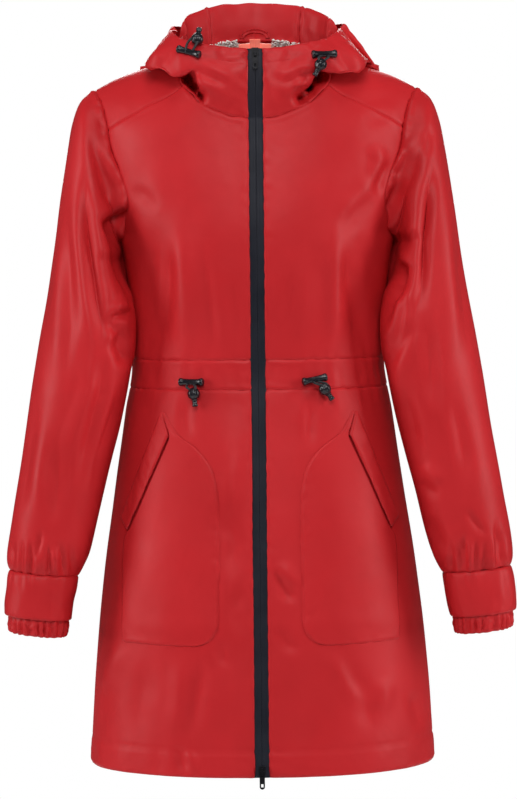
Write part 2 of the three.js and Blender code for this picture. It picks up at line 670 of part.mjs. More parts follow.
/** The inner face of the hood's stand at x and z, behind the neck, moved inwards by lift. */
function insideStand(x, z, lift) {
  const share = 1 - Math.abs(x) / (8 * NECK.at(-2)[0]);
  const [seamX, seamZ] = through(NECK, share);
  const column = hoodColumn(onTorso(seamX, seamZ, 1), share).slice(0, 7);
  const [y] = table(column.map((point) => [point[2], point[1]]), z);
  return [x, y - lift, z];
}
const LOOP = { halfWidth: 19, lowZ: 31, rise: 12, bandWidth: 4.5, thickness: 1.2 };
const loopGrid = steps(12).map((t) => {
  const turn = Math.PI * t;
  return [0, LOOP.bandWidth].map((out) => insideStand(
    -(LOOP.halfWidth - out) * Math.cos(turn), LOOP.lowZ + (LOOP.rise - out) * Math.sin(turn), WALL + 1.3));
});
addPiece('hanger_loop', clothWall(loopGrid, { thickness: LOOP.thickness, sign: -1 }), DARK_RED);

/** A point of the hood at a share round the neck and a share s of its profile, with its way out. */
function onHood(share, s) {
  const at = (u, v) => {
    const [x, z] = through(NECK, u);
    const column = hoodColumn(onTorso(x, z, u <= NECK_RIDGE_SHARE ? -1 : 1), u);
    return new THREE.Vector3(...through(column, v));
  };
  const point = at(share, s);
  const step = 0.02;
  const across = at(share + step, s).sub(at(share - step, s));
  const up = at(share, Math.min(s + step, 1)).sub(at(share, s - step));
  return { point, out: across.cross(up).normalize() };
}

/** The same for a point of the torso's front. */
function onFront(x, z) {
  const point = new THREE.Vector3(...onTorso(x, z, -1));
  const out = new THREE.Vector3(...liftedTorso(x, z, -1, 1)).sub(point);
  return { point, out };
}

// Cord locks: a ball with a plunger, and a waisted grip that the cord's end loops through.
const BALL_RADIUS = 7.6;
const PLUNGER = { radius: 3.1, reach: 8.5 };
const GRIP = { length: 30, endRadius: 5, waistRadius: 3.7 };
const HARD_GAP = 0.45;
const TOGGLES = [
  // name, ball's place, grip's place, its sink into the curve, its slope and plunger's way in degrees, side
  ['hood_lock_right', onHood(0.303, 0.985), onHood(0.325, 0.86), 1.35, -18, 86, -1],
  ['hood_lock_left', onHood(0.303, 0.7), onHood(0.335, 0.83), 1.15, 2, -120, 1],
  ['waist_lock_right', onFront(76, -412), onFront(80, -397.5), 0.8, 0, -80, -1],
  ['waist_lock_left', onFront(78, -408), onFront(67, -395.5), 0.3, 10, -55, 1],
];
const gripProfile = steps(5).map((t) => {
  const along = (t - 0.5) * GRIP.length;
  const swell = Math.abs(2 * t - 1) ** 2.5;
  return new THREE.Vector2(lerp(GRIP.waistRadius, GRIP.endRadius, swell), along);
});
const gripEnd = GRIP.length / 2 + 0.8;
const gripOutline = [new THREE.Vector2(0, -gripEnd), new THREE.Vector2(GRIP.endRadius * 0.6, -gripEnd),
  ...gripProfile, new THREE.Vector2(GRIP.endRadius * 0.6, gripEnd), new THREE.Vector2(0, gripEnd)];

/** A lock's own frame: X across as seen from outside, Z up, -Y outwards. */
function outwardFrame(out) {
  const towardsFront = out.clone().negate();
  const up = new THREE.Vector3(0, 0, 1).addScaledVector(out, -out.z).normalize();
  const across = towardsFront.clone().cross(up).normalize();
  return new THREE.Matrix4().makeBasis(across, towardsFront, up);
}

function addToggle([name, ballPlace, gripPlace, gripSink, gripSlope, plungerWay, side]) {
  const flip = new THREE.Vector3(side, 1, 1);
  const placed = ({ point, out }, lift, geometry) => {
    const way = out.clone().multiply(flip);
    const at = point.clone().multiply(flip).addScaledVector(way, lift);
    return geometry.applyMatrix4(outwardFrame(way).setPosition(at));
  };
  const tilt = THREE.MathUtils.degToRad(plungerWay - 90);
  const slope = THREE.MathUtils.degToRad(gripSlope + 90);
  const turned = (geometry, angle) => geometry.rotateX(Math.PI / 2).rotateY(-angle);
  const plungerReach = BALL_RADIUS + PLUNGER.reach;
  const plunger = new THREE.CylinderGeometry(PLUNGER.radius, PLUNGER.radius, plungerReach, 8)
    .translate(0, plungerReach / 2, 0);
  const ball = joined(new THREE.SphereGeometry(BALL_RADIUS, 10, 7), turned(plunger, tilt));
  addPiece(name, placed(ballPlace, BALL_RADIUS + HARD_GAP, ball), HARD_BLACK);
  const grip = turned(new THREE.LatheGeometry(gripOutline, 8), slope);
  const gripLift = GRIP.endRadius + HARD_GAP - gripSink;
  addPiece(name.replace('lock', 'grip'), placed(gripPlace, gripLift, grip), HARD_BLACK);
}
TOGGLES.forEach(addToggle);

// Zip sliders. A pull turns about the crossbar of its eye, under the slider's arch.
const SLIDER = { width: 8.4, depth: 2.6, height: 13 };
const ARCH = { width: 1.8, reach: 4.6, height: 9.4, thickness: 1.3 };
const PULL = { width: 6.4, thickness: 1.5, eye: 7, length: 21 };
const PULL_AXIS_OUT = 1.9; // from the slider's face to the middle of the pull's crossbar
const SLIDER_GAP = 0.75;
const collarTop = hoodColumns[0].at(-1);
const collarLow = hoodColumns[0].at(-6);
const hemFront = onTorso(TAPE_INNER_X, HEM_Z, -1);
const aboveHem = onTorso(TAPE_INNER_X, HEM_Z + 40, -1);
const TOP_SLIDER_DROP = 6;
const BOTTOM_SLIDER_RISE = 7.5;
const leanOf = (high, low) => Math.atan2(low[1] - high[1], high[2] - low[2]);
const yAlong = (high, low, z) => lerp(low[1], high[1], (z - low[2]) / (high[2] - low[2]));
const SLIDERS = [
  // name, height of the pull's axis, and the two front points that the slider lies along
  ['top', collarTop[2] - TOP_SLIDER_DROP, collarTop, collarLow],
  ['bottom', HEM_Z + BOTTOM_SLIDER_RISE, aboveHem, hemFront],
];

function sliderBody() {
  const outline = new THREE.Shape();
  const [w, h] = [SLIDER.width / 2, SLIDER.height / 2];
  outline.moveTo(-w, h);
  outline.lineTo(-w, -h * 0.3);
  outline.lineTo(-w * 0.6, -h);
  outline.lineTo(w * 0.6, -h);
  outline.lineTo(w, -h * 0.3);
  outline.lineTo(w, h);
  const plate = new THREE.ExtrudeGeometry(outline, { depth: SLIDER.depth, bevelEnabled: false });
  plate.rotateX(Math.PI / 2);
  const postZ = (ARCH.height - ARCH.thickness) / 2;
  const postReach = ARCH.reach + 0.3;
  const topY = -SLIDER.depth - ARCH.reach + ARCH.thickness / 2;
  const top = block(ARCH.width, ARCH.thickness, ARCH.height, 0, topY, 0);
  const postY = -SLIDER.depth - ARCH.reach / 2 + 0.15;
  const post = (z) => block(ARCH.width, postReach, ARCH.thickness, 0, postY, z);
  return joined(plate, top, post(postZ), post(-postZ));
}

function pullTab() {
  const outline = new THREE.Shape();
  const w = PULL.width / 2;
  outline.moveTo(-w, PULL.thickness / 2);
  outline.lineTo(-w, -PULL.length + w);
  outline.absarc(0, -PULL.length + w, w, Math.PI, 2 * Math.PI, false);
  outline.lineTo(w, PULL.thickness / 2);
  const hole = (halfWidth, top, low) => {
    const path = new THREE.Path();
    path.moveTo(-halfWidth, top);
    path.lineTo(halfWidth, top);
    path.lineTo(halfWidth, low);
    path.lineTo(-halfWidth, low);
    path.closePath();
    outline.holes.push(path);
  };
  hole(1.9, -PULL.thickness / 2, -PULL.eye);
  hole(1.4, -PULL.length + 6.5, -PULL.length + 2.6);
  const plate = new THREE.ExtrudeGeometry(outline, {
    depth: PULL.thickness, bevelEnabled: false, curveSegments: 8,
  });
  return plate.rotateX(Math.PI / 2).translate(0, PULL.thickness / 2, 0);
}

SLIDERS.forEach(([name, z, high, low]) => {
  const backY = yAlong(high, low, z) - SLIDER_GAP;
  const laid = (geometry) => geometry.rotateX(leanOf(high, low)).translate(0, backY, z);
  addPiece(`slider_${name}`, laid(sliderBody()), HARD_BLACK);
  addPiece(`pull_${name}`, laid(pullTab().translate(0, -SLIDER.depth - PULL_AXIS_OUT, 0)), HARD_BLACK);
});

export default group;
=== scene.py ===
"""Looks for a red hooded raincoat, built on the solids of its CAD part.

Forms are worked out in millimetres and written in metres. The front faces -Y and the wearer's left
is +X. Cloth pieces share their seams, so creases are functions of place and carry across them.
"""
import math

import bpy
import numpy as np
from mathutils import Matrix, Vector


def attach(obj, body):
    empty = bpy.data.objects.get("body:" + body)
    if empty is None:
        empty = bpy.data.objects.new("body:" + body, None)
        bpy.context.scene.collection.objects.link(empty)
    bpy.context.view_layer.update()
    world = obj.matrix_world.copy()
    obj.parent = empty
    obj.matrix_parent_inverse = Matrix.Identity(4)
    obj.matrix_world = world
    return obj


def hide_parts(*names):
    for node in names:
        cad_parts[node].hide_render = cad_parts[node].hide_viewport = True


MM = 0.001
CORNER_POWER = 2.15
SLEEVE_POWER = 2.1
SHOULDER_ROUND = 105.0
ZIP_HALF = 8.9
HEM_Z = -874.0
WAIST_TOP_Z = -371.0
WAIST_LOW_Z = -407.0
WAIST_MIDDLE_Z = (WAIST_TOP_Z + WAIST_LOW_Z) / 2
SIDE_SEAM_Y = 4.0
CLOTH = 1.1
FLOOR_Z = -1450.0
FLOOR_RADIUS = 2200.0
QUARTER = math.pi / 2
UNREACHED = 1e9

# height, half width, front depth, back depth
TORSO = [
    (60, 212, 104, 96), (0, 212, 106, 100), (-60, 208, 110, 104), (-110, 197, 117, 108),
    (-165, 184, 125, 110), (-219, 167, 130, 110), (-290, 156, 126, 106), (-345, 153, 119, 103),
    (-389, 157, 117, 104), (-440, 166, 122, 112), (-530, 179, 132, 126), (-640, 195, 142, 138),
    (-760, 208, 150, 148), (-874, 216, 157, 155),
]
# distance from the middle, height of the shoulder ridge
RIDGE = [(0, 60), (48, 44), (75, 20), (97, 1), (136, -11), (170, -23), (199, -37), (230, -52)]
# x and z of the neck seam, from the zip to the middle of the back
NECK = [
    (ZIP_HALF, -78), (33, -74), (62, -61), (80, -46), (92, -27), (98.5, 0.4), (88, 5), (48, 24), (0, 29),
]
# shares of the neck seam: where it crosses the ridge, where the yoke meets it, the hood's side seam
NECK_RIDGE_SHARE = 5 / 8
YOKE_START = 3.6 / 8
YOKE_END = 5.6 / 8
HOOD_SEAM = 0.85
# x and z of the armhole seam, from the shoulder tip down to the armpit
ARMHOLE_FRONT = [
    (199, -37), (189, -58), (182, -85), (177, -114), (166, -142), (157, -176), (154, -206), (163, -222),
]
ARMHOLE_BACK = [
    (199, -37), (194, -60), (190, -88), (186, -118), (178, -148), (169, -180), (163, -208), (163, -222),
]
# outer x and z, inner x and z, middle y, half depth, how far forward the inner side lies
SLEEVE = [
    (216, -50, 169, -230, 2, 62, 0), (227, -76, 168, -241, 1, 67, 4), (234, -112, 166, -254, -1, 69, 10),
    (243, -172, 162, -272, -6, 70, 18), (252, -240, 157, -298, -14, 68, 26),
    (261, -300, 154, -332, -27, 64, 26), (271, -357, 157, -375, -38, 61, 18),
    (281, -420, 169, -438, -46, 59, 8), (290, -480, 182, -489, -52, 56, 0),
    (300, -540, 194, -537, -57, 53, 0), (309, -592, 206, -588, -60, 50, 0),
    (311, -616, 214, -614, -62, 47, 0), (308, -628, 226, -636, -62, 38, 0),
]
CUFF = [
    (308, -628, 226, -636, -62, 38, 0), (311, -640, 227, -648, -62.5, 39.5, 0),
    (314, -662, 231, -670, -63.5, 39.5, 0), (315, -682, 235, -690, -64, 38, 0),
]
INNER_CUFF = [
    (309.5, -668, 237.5, -675, -63.6, 34.5, 0), (310, -692, 239.5, -699, -64, 33.8, 0),
    (307.5, -704, 240.5, -711, -64, 32.5, 0),
]
# the hood's profile round the neck: pairs of distance out from the neck seam and height
HOOD = [
    (1.5, -62, 2.5, -47, 2.5, -33, 1.5, -19, -0.5, -6, -4, 6),
    (3, -59, 5, -45, 6, -32, 5, -18, 2, -5, -4, 8),
    (3, -48, 4, -36, 6, -25, 7, -13, 3, 1, -6, 13),
    (-10, -36, -10, -20, 3, -13, 17, -24, 15, -4, 1, 17),
    (-6, -16, -3, 0, 14, -4, 34, -22, 28, 0, 6, 26),
    (-6, 16, -5, 33, 12, 14, 41, -5, 28, 12, 8, 38),
    (-3, 32, 4, 54, 28, 8, 60, -36, 52, 0, 24, 46),
    (0, 50, 10, 69, 42, -20, 80, -130, 96, -50, 56, 48),
    (2, 54, 12, 73, 44, -30, 68, -158, 96, -90, 62, 50),
]
NECK_CENTRE_Y = -14.0
HOOD_CLEAR = 9.0
# height, edge towards the zip, edge towards the side
POCKET = [
    (-435, 113, 115.5), (-450, 105, 111.5), (-464, 95, 107.5), (-477, 76, 112), (-496, 60, 120.5),
    (-515, 52.5, 129), (-540, 49.5, 140), (-576, 49.3, 156), (-590, 49.3, 165), (-650, 49.6, 167),
    (-690, 51, 168), (-704, 56.5, 168), (-712, 65, 168), (-716, 79, 167),
]
# each end of the welt: x and z at the slit, then at its outer edge
WELT_EDGES = [(109.3, -463, 118.5, -434), (160.5, -579, 170.5, -566)]


def lerp(a, b, t):
    return a + (b - a) * t


def smooth(x):
    x = np.clip(x, 0, 1)
    return x * x * (3 - 2 * x)


def bell(x, wide):
    return np.exp(-(x / wide) ** 2)


def unit(v):
    return v / np.maximum(np.linalg.norm(v, axis=-1, keepdims=True), 1e-9)


def floats(*values):
    return np.broadcast_arrays(*(np.asarray(value, float) for value in values))


def stack2(a, b):
    return np.stack(floats(a, b), -1)


def cubic(value, rise, start, end, t):
    """Goes from value to value + rise while t goes from 0 to 1, with these slopes at its ends."""
    return value + t * (start + t * (3 * rise - 2 * start - end + t * (start + end - 2 * rise)))


def around(rows, k):
    """The rows before, at, next after and second after place k."""
    return rows[np.maximum(k - 1, 0)], rows[k], rows[k + 1], rows[np.minimum(k + 2, len(rows) - 1)]


def through(rows, u):
    """A smooth curve through rows of numbers, read at places u from 0 to 1."""
    rows = np.asarray(rows, float)
    at = np.clip(np.asarray(u, float), 0, 1) * (len(rows) - 1)
    k = np.minimum(at.astype(int), len(rows) - 2)
    a, b, c, d = around(rows, k)
    return cubic(b, c - b, (c - a) / 2, (d - b) / 2, (at - k).reshape(at.shape + (1,) * (rows.ndim - 1)))


def table(rows, x):
    """The other columns of a table, read smoothly by its first column."""
    rows, x = np.asarray(rows, float), np.asarray(x, float)
    way = 1 if rows[1, 0] > rows[0, 0] else -1
    k = np.clip(np.searchsorted(rows[:, 0] * way, x * way, side="left") - 1, 0, len(rows) - 2)
    a, b, c, d = around(rows, k)
    span = (c - b)[..., :1]
    start = (c - a)[..., 1:] / (c - a)[..., :1] * span
    end = (d - b)[..., 1:] / (d - b)[..., :1] * span
    t = np.clip((x[..., None] - b[..., :1]) / span, 0, 1)
    return cubic(b[..., 1:], (c - b)[..., 1:], start, end, t)


def ridge_z(x):
    return table(RIDGE, np.abs(x))[..., 0]


def shoulder_drop(x, z):
    """How far a place lies below the shoulder's ridge, as a share of its rounding."""
    return np.clip(ridge_z(x) - z, 0, SHOULDER_ROUND) / SHOULDER_ROUND


def squared(wave, power):
    """A sine or cosine pushed out towards the corners of a rounded square."""
    return np.sign(wave) * np.abs(wave) ** (2 / power)


def torso(angle, z):
    """The torso's surface by angle (0 front, 90 the wearer's left, 180 back) and height."""
    angle, z = floats(angle, z)
    half, front, back = np.moveaxis(table(TORSO, z), -1, 0)
    x = half * squared(np.sin(angle), CORNER_POWER)
    depth = np.where(np.cos(angle) > 0, front, back) * squared(np.cos(angle), CORNER_POWER)
    return np.stack([x, SIDE_SEAM_Y - depth * np.sqrt(1 - (1 - shoulder_drop(x, z)) ** 2), z], -1)


def torso_angle(x, z, side):
    x, z, side = floats(x, z, side)
    angle = np.arcsin(np.minimum((np.abs(x) / table(TORSO, z)[..., 0]) ** (CORNER_POWER / 2), 1))
    return np.where(x < 0, -1.0, 1.0) * np.where(side < 0, angle, math.pi - angle)


def on_torso(x, z, side):
    return torso(torso_angle(x, z, side), z)


def on_angles(grid):
    return torso(grid[..., 0], grid[..., 1])


def torso_out(x, z, side):
    """The direction out of the torso's surface at x and z."""
    here = on_torso(x, z, side)
    out = unit(np.cross(on_torso(x + 1, z, side) - here, on_torso(x, z - 1, side) - here))
    return np.where((out[..., 1:2] * side) < 0, -out, out)


def lifted_torso(x, z, side, lift):
    x, z, lift = floats(x, z, lift)
    return on_torso(x, z, side) + torso_out(x, z, side) * lift[..., None]


def coons(top, bottom, left, right, u, v):
    """Fills a four-sided patch from its borders, which are functions of a share from 0 to 1."""
    t, b = top(u)[None, :, :], bottom(u)[None, :, :]
    lf, r = left(v)[:, None, :], right(v)[:, None, :]
    uu, vv = u[None, :, None], v[:, None, None]
    above = lerp(t[:, :1], t[:, -1:], uu)
    below = lerp(b[:, :1], b[:, -1:], uu)
    return lerp(lf, r, uu) + lerp(t, b, vv) - lerp(above, below, vv)


def neck_xz(share):
    row = through(NECK, share)
    return row[..., 0], row[..., 1], np.where(share <= NECK_RIDGE_SHARE, -1.0, 1.0)


def neck_angles(share):
    x, z, side = neck_xz(share)
    return stack2(torso_angle(x, z, side), z)


def ridge_turn(x, z, side):
    return side * np.arccos(1 - shoulder_drop(x, z))


def ridge_to_angles(x, turn):
    z = ridge_z(x) - SHOULDER_ROUND * (1 - np.cos(turn))
    return stack2(torso_angle(x, z, np.where(turn < 0, -1.0, 1.0)), z)


def armhole(side):
    return ARMHOLE_FRONT if side < 0 else ARMHOLE_BACK


def arm_angles(u, side):
    x, z = np.moveaxis(through(armhole(side), u), -1, 0)
    to_armpit = np.maximum(0, (u - 0.7) / 0.3) ** 1.6
    return stack2(lerp(torso_angle(x, z, side), QUARTER, to_armpit), z)


def zip_angle(z):
    return torso_angle(ZIP_HALF, z, -1)


def yoke_ends(share, side, arm_share):
    """Where a seam of the yoke leaves the neck seam, and where it meets the armhole."""
    neck_x, neck_z, _ = neck_xz(np.array(share))
    arm_x, arm_z = through(armhole(side), np.array(arm_share))
    return np.array([[neck_x, ridge_turn(neck_x, neck_z, side)], [arm_x, ridge_turn(arm_x, arm_z, side)]])


# The borders of the panels run in these steps, so that pieces side by side share their corners.
TOP_STEPS = 10
NECK_STEPS = 6
ARM_STEPS = 10
SIDE_STEPS = 5
YOKE_FRONT_STEP = 3
YOKE_BACK_STEP = 1
ARMPIT_Z = float(ARMHOLE_FRONT[-1][1])
YOKE_FRONT = yoke_ends(YOKE_START, -1, YOKE_FRONT_STEP / ARM_STEPS)
YOKE_BACK = yoke_ends(YOKE_END, 1, YOKE_BACK_STEP / ARM_STEPS)


def yoke_seam(ends, t):
    return lerp(*ends, np.asarray(t, float)[:, None]).T


def top_border(first, last, ends):
    """Along the neck seam from one share to another, then along a seam of the yoke."""
    def border(u):
        p = u * TOP_STEPS
        neck = neck_angles(lerp(first, last, np.minimum(p, NECK_STEPS) / NECK_STEPS))
        t = np.clip((p - NECK_STEPS) / (TOP_STEPS - NECK_STEPS), 0, 1)
        return np.where((p <= NECK_STEPS)[:, None], neck, ridge_to_angles(*yoke_seam(ends, t)))
    return border


def outer_border(first, side):
    """Down the armhole from one of its steps, then down the side seam to the waist."""
    def border(v):
        arm_steps = ARM_STEPS - first
        p = v * (arm_steps + SIDE_STEPS)
        arm = arm_angles(np.minimum(first + p, ARM_STEPS) / ARM_STEPS, side)
        low = lerp(ARMPIT_Z, WAIST_TOP_Z, np.clip((p - arm_steps) / SIDE_STEPS, 0, 1))
        return np.where((p <= arm_steps)[:, None], arm, stack2(QUARTER, low))
    return border


def level(z, inner):
    """Round the body at one height, from an inner angle to the side seam."""
    return lambda u: stack2(lerp(inner(z), QUARTER, u), z)


def front_left(v):
    z = lerp(NECK[0][1], WAIST_TOP_Z, v)
    return stack2(zip_angle(z), z)


def middle_back(z):
    return math.pi


def back_left(v):
    return stack2(math.pi, lerp(NECK[-1][1], WAIST_TOP_Z, v ** 1.5))


def yoke_left(v):
    x, z, side = neck_xz(lerp(YOKE_START, YOKE_END, v))
    return stack2(x, ridge_turn(x, z, side))


def yoke_right(v):
    p = v * (YOKE_FRONT_STEP + YOKE_BACK_STEP)
    in_front = p <= YOKE_FRONT_STEP
    front = through(ARMHOLE_FRONT, np.maximum(YOKE_FRONT_STEP - p, 0) / ARM_STEPS)
    back = through(ARMHOLE_BACK, np.maximum(p - YOKE_FRONT_STEP, 0) / ARM_STEPS)
    x, z = np.where(in_front[:, None], front, back).T
    return stack2(x, ridge_turn(x, z, np.where(in_front, -1.0, 1.0)))


def arm_ring(turn):
    front = arm_angles(np.clip(turn * 2, 0, 1), -1)
    back = arm_angles(np.clip(2 - 2 * turn, 0, 1), 1)
    return on_angles(np.where((turn <= 0.5)[:, None], front, back))


def section_ring(row, turn):
    outer_x, outer_z, inner_x, inner_z, middle_y, half_depth, forward = row
    along = squared(np.cos(turn * 2 * math.pi), SLEEVE_POWER)
    reach = squared(np.sin(turn * 2 * math.pi), SLEEVE_POWER)
    return np.stack([
        (outer_x + inner_x) / 2 + (outer_x - inner_x) / 2 * along,
        middle_y - half_depth * reach - forward * (1 - along) / 2,
        (outer_z + inner_z) / 2 + (outer_z - inner_z) / 2 * along,
    ], -1)


def shoulder_top(x, y):
    """The height of the torso's surface above a place, found by halving."""
    side = np.where(y < SIDE_SEAM_Y, -1.0, 1.0)
    low, high = np.full(x.shape, -SHOULDER_ROUND - 120), ridge_z(x)
    for _ in range(14):
        middle = (low + high) / 2
        inside = np.abs(on_torso(x, middle, side)[..., 1] - SIDE_SEAM_Y) > np.abs(y - SIDE_SEAM_Y)
        low, high = np.where(inside, middle, low), np.where(inside, high, middle)
    return low


def clear_of_shoulders(p, clear):
    x, y, z = np.moveaxis(p, -1, 0)
    side = np.where(y < SIDE_SEAM_Y, -1.0, 1.0)
    lift = shoulder_top(x, y) + clear - z
    out = np.abs(on_torso(x, z, side)[..., 1] - SIDE_SEAM_Y) + clear - np.abs(y - SIDE_SEAM_Y)
    free = (lift <= 0) | (out <= 0)
    up = ~free & (lift < out)
    back = ~free & ~up
    return np.stack([x, np.where(back, y + side * out, y), np.where(up, z + lift, z)], -1)


def hood(share, s):
    """The folded hood's surface: share round the neck, s from the neck seam to the opening."""
    share, s = floats(share, s)
    x, z, side = neck_xz(share)
    seam = on_torso(x, z, side)
    way = unit(seam[..., :2] - np.array([0, NECK_CENTRE_Y]))
    last = len(HOOD[0]) // 2
    stations = through(HOOD, share).reshape(z.shape + (last, 2))
    profile = np.concatenate([stack2(0, z)[..., None, :], stations], -2)
    at = np.clip(s, 0, 1) * last
    k = np.minimum(at.astype(int), last - 1)
    places = [np.clip(k + n, 0, last)[..., None, None].repeat(2, -1) for n in (-1, 0, 1, 2)]
    a, b, c, d = (np.take_along_axis(profile, place, -2)[..., 0, :] for place in places)
    value = cubic(b, c - b, (c - a) / 2, (d - b) / 2, (at - k)[..., None])
    p = np.concatenate([seam[..., :2] + way * value[..., :1], value[..., 1:]], -1)
    return clear_of_shoulders(p, HOOD_CLEAR * np.minimum(s / 0.2, 1))


def ripple(p, size, seed, stretch=(1, 1, 1)):
    """Soft noise between about -1 and 1, as a sum of waves in chosen directions."""
    rng = np.random.default_rng(seed)
    total = 0
    for _ in range(7):
        way = unit(rng.normal(size=3)) / np.array(stretch)
        total = total + np.sin(p @ way * (2 * math.pi / size * rng.uniform(0.7, 1.5)) + rng.uniform(0, 6.3))
    return total / 3.2


def to_segment(x, z, a, b):
    """How far along a straight piece of line each place lies, as a share, and how far off it."""
    way = (b[0] - a[0], b[1] - a[1])
    t = np.clip(((x - a[0]) * way[0] + (z - a[1]) * way[1]) / (way[0] ** 2 + way[1] ** 2), 0, 1)
    return t, np.hypot(x - a[0] - t * way[0], z - a[1] - t * way[1])


def stroke(x, z, height, width, points):
    """One crease seen from the front: a soft ridge or trough along a line, fading at its ends.

    The width is one number, or two: left and right of the way that the line goes.
    """
    left_width, right_width = width if isinstance(width, tuple) else (width, width)
    near = np.full(x.shape, UNREACHED)
    along = np.zeros(x.shape)
    left = np.zeros(x.shape, bool)
    total = 0.0
    for a, b in zip(points[:-1], points[1:]):
        t, distance = to_segment(x, z, a, b)
        length = math.dist(a, b)
        closer = distance < near
        near = np.where(closer, distance, near)
        along = np.where(closer, total + t * length, along)
        left = np.where(closer, (b[0] - a[0]) * (z - a[1]) > (b[1] - a[1]) * (x - a[0]), left)
        total += length
    width = np.where(left, left_width, right_width)
    fade = smooth(np.minimum(along, total - along) / (0.38 * total))
    # straight flanks with a narrow rounded crest and a soft foot
    crest = 0.3 * width
    drop = 1 - (np.hypot(near, crest) - crest) / (1.45 * width)
    return height * fade * np.logaddexp(0, 7 * drop) / 7


def strokes(p, rows):
    return sum(stroke(p[..., 0], p[..., 2], *row) for row in rows)


# Creases: height out of the cloth, half width, and the line they follow in x and z.
CHEST_CREASES = [
    (5.0, 16, [(-100, -182), (-90, -232), (-87, -289), (-85, -385)]),
    (-5.0, 18, [(-131, -200), (-124, -263), (-121, -375)]),
    (5.0, 16, [(103, -182), (94, -232), (91, -302), (92, -385)]),
    (-5.0, 18, [(128, -212), (124, -289), (123, -378)]),
    (-2.4, 7, [(-103, -222), (-108, -268), (-116, -345)]),
    (2.0, 8, [(-114, -215), (-120, -262), (-128, -335)]),
    (-1.8, 6, [(-70, -226), (-58, -279), (-47, -371)]),
    (1.2, 8, [(-62, -250), (-50, -300), (-36, -371)]),
    (-1.4, 7, [(-30, -262), (-24, -310), (-16, -362)]),
    (1.8, 8, [(-140, -226), (-143, -290), (-142, -347)]),
    (-2.2, 7, [(77, -221), (80, -275), (77, -369)]),
    (-1.8, 7, [(104, -228), (110, -285), (119, -335)]),
    (1.4, 7, [(60, -240), (56, -300), (50, -362)]),
    (-1.2, 6, [(43, -262), (36, -310), (28, -350)]),
    (2.0, 7, [(112, -222), (130, -269), (139, -345)]),
    (2.2, 9, [(151, -141), (119, -177), (92, -205)]),
    (-1.6, 8, [(140, -166), (116, -196), (98, -228)]),
    (3.4, 7, [(144, -104), (150, -131), (141, -158)]),
    (-3.6, 6, [(161, -125), (153, -151), (144, -178)]),
    (-1.4, 9, [(111, -61), (147, -55), (182, -50)]),
    (-1.2, 8, [(125, -85), (147, -78), (174, -71)]),
    (-0.9, 8, [(-177, -81), (-149, -66), (-131, -61)]),
    (-1.5, 7, [(-156, -158), (-134, -172), (-118, -192)]),
]
SKIRT_CREASES = [
    (-2.2, 9, [(-67, -721), (-80, -786), (-89, -838)]),
    (1.8, 10, [(-96, -721), (-98, -778), (-107, -836)]),
    (-1.4, 6, [(-51, -706), (-46, -724), (-40, -745)]),
    (2.0, 8, [(-168, -714), (-185, -753), (-196, -790)]),
    (-1.8, 12, [(-190, -560), (-194, -640), (-205, -730)]),
    (-2.2, 4.5, [(13, -619), (24, -638), (33, -655), (48, -662)]),
    (1.6, 6, [(22, -614), (37, -634), (48, -646)]),
    (-1.6, 6, [(18, -690), (30, -712), (46, -726)]),
    (1.8, 9, [(73, -718), (101, -759), (130, -805)]),
    (1.8, 9, [(151, -759), (147, -805)]),
    (-1.8, 10, [(91, -730), (122, -778), (138, -838)]),
    (-2.0, 7, [(182, -778), (191, -807), (198, -836)]),
    (-2.2, 5, [(-102, -836), (-96, -853), (-93, -872)]),
    (1.6, 5, [(-90, -838), (-84, -855), (-80, -872)]),
    (-1.4, 6, [(64, -415), (62, -454), (61, -481)]),
    (-1.3, 6, [(-84, -414), (-88, -440), (-86, -470)]),
    (-1.4, 12, [(55, -730), (45, -790), (42, -851)]),
    (-1.5, 14, [(-137, -730), (-150, -790), (-152, -845)]),
    (1.6, 9, [(-32, -590), (-38, -652), (-29, -734)]),
    (-1.6, 7, [(-44, -545), (-30, -590), (-42, -640)]),
    (-1.3, 6, [(-20, -640), (-34, -672), (-24, -706)]),
    (1.2, 7, [(-26, -474), (-34, -520), (-28, -566)]),
    (2.0, 22, [(-34, -420), (-38, -500), (-40, -580)]),
]
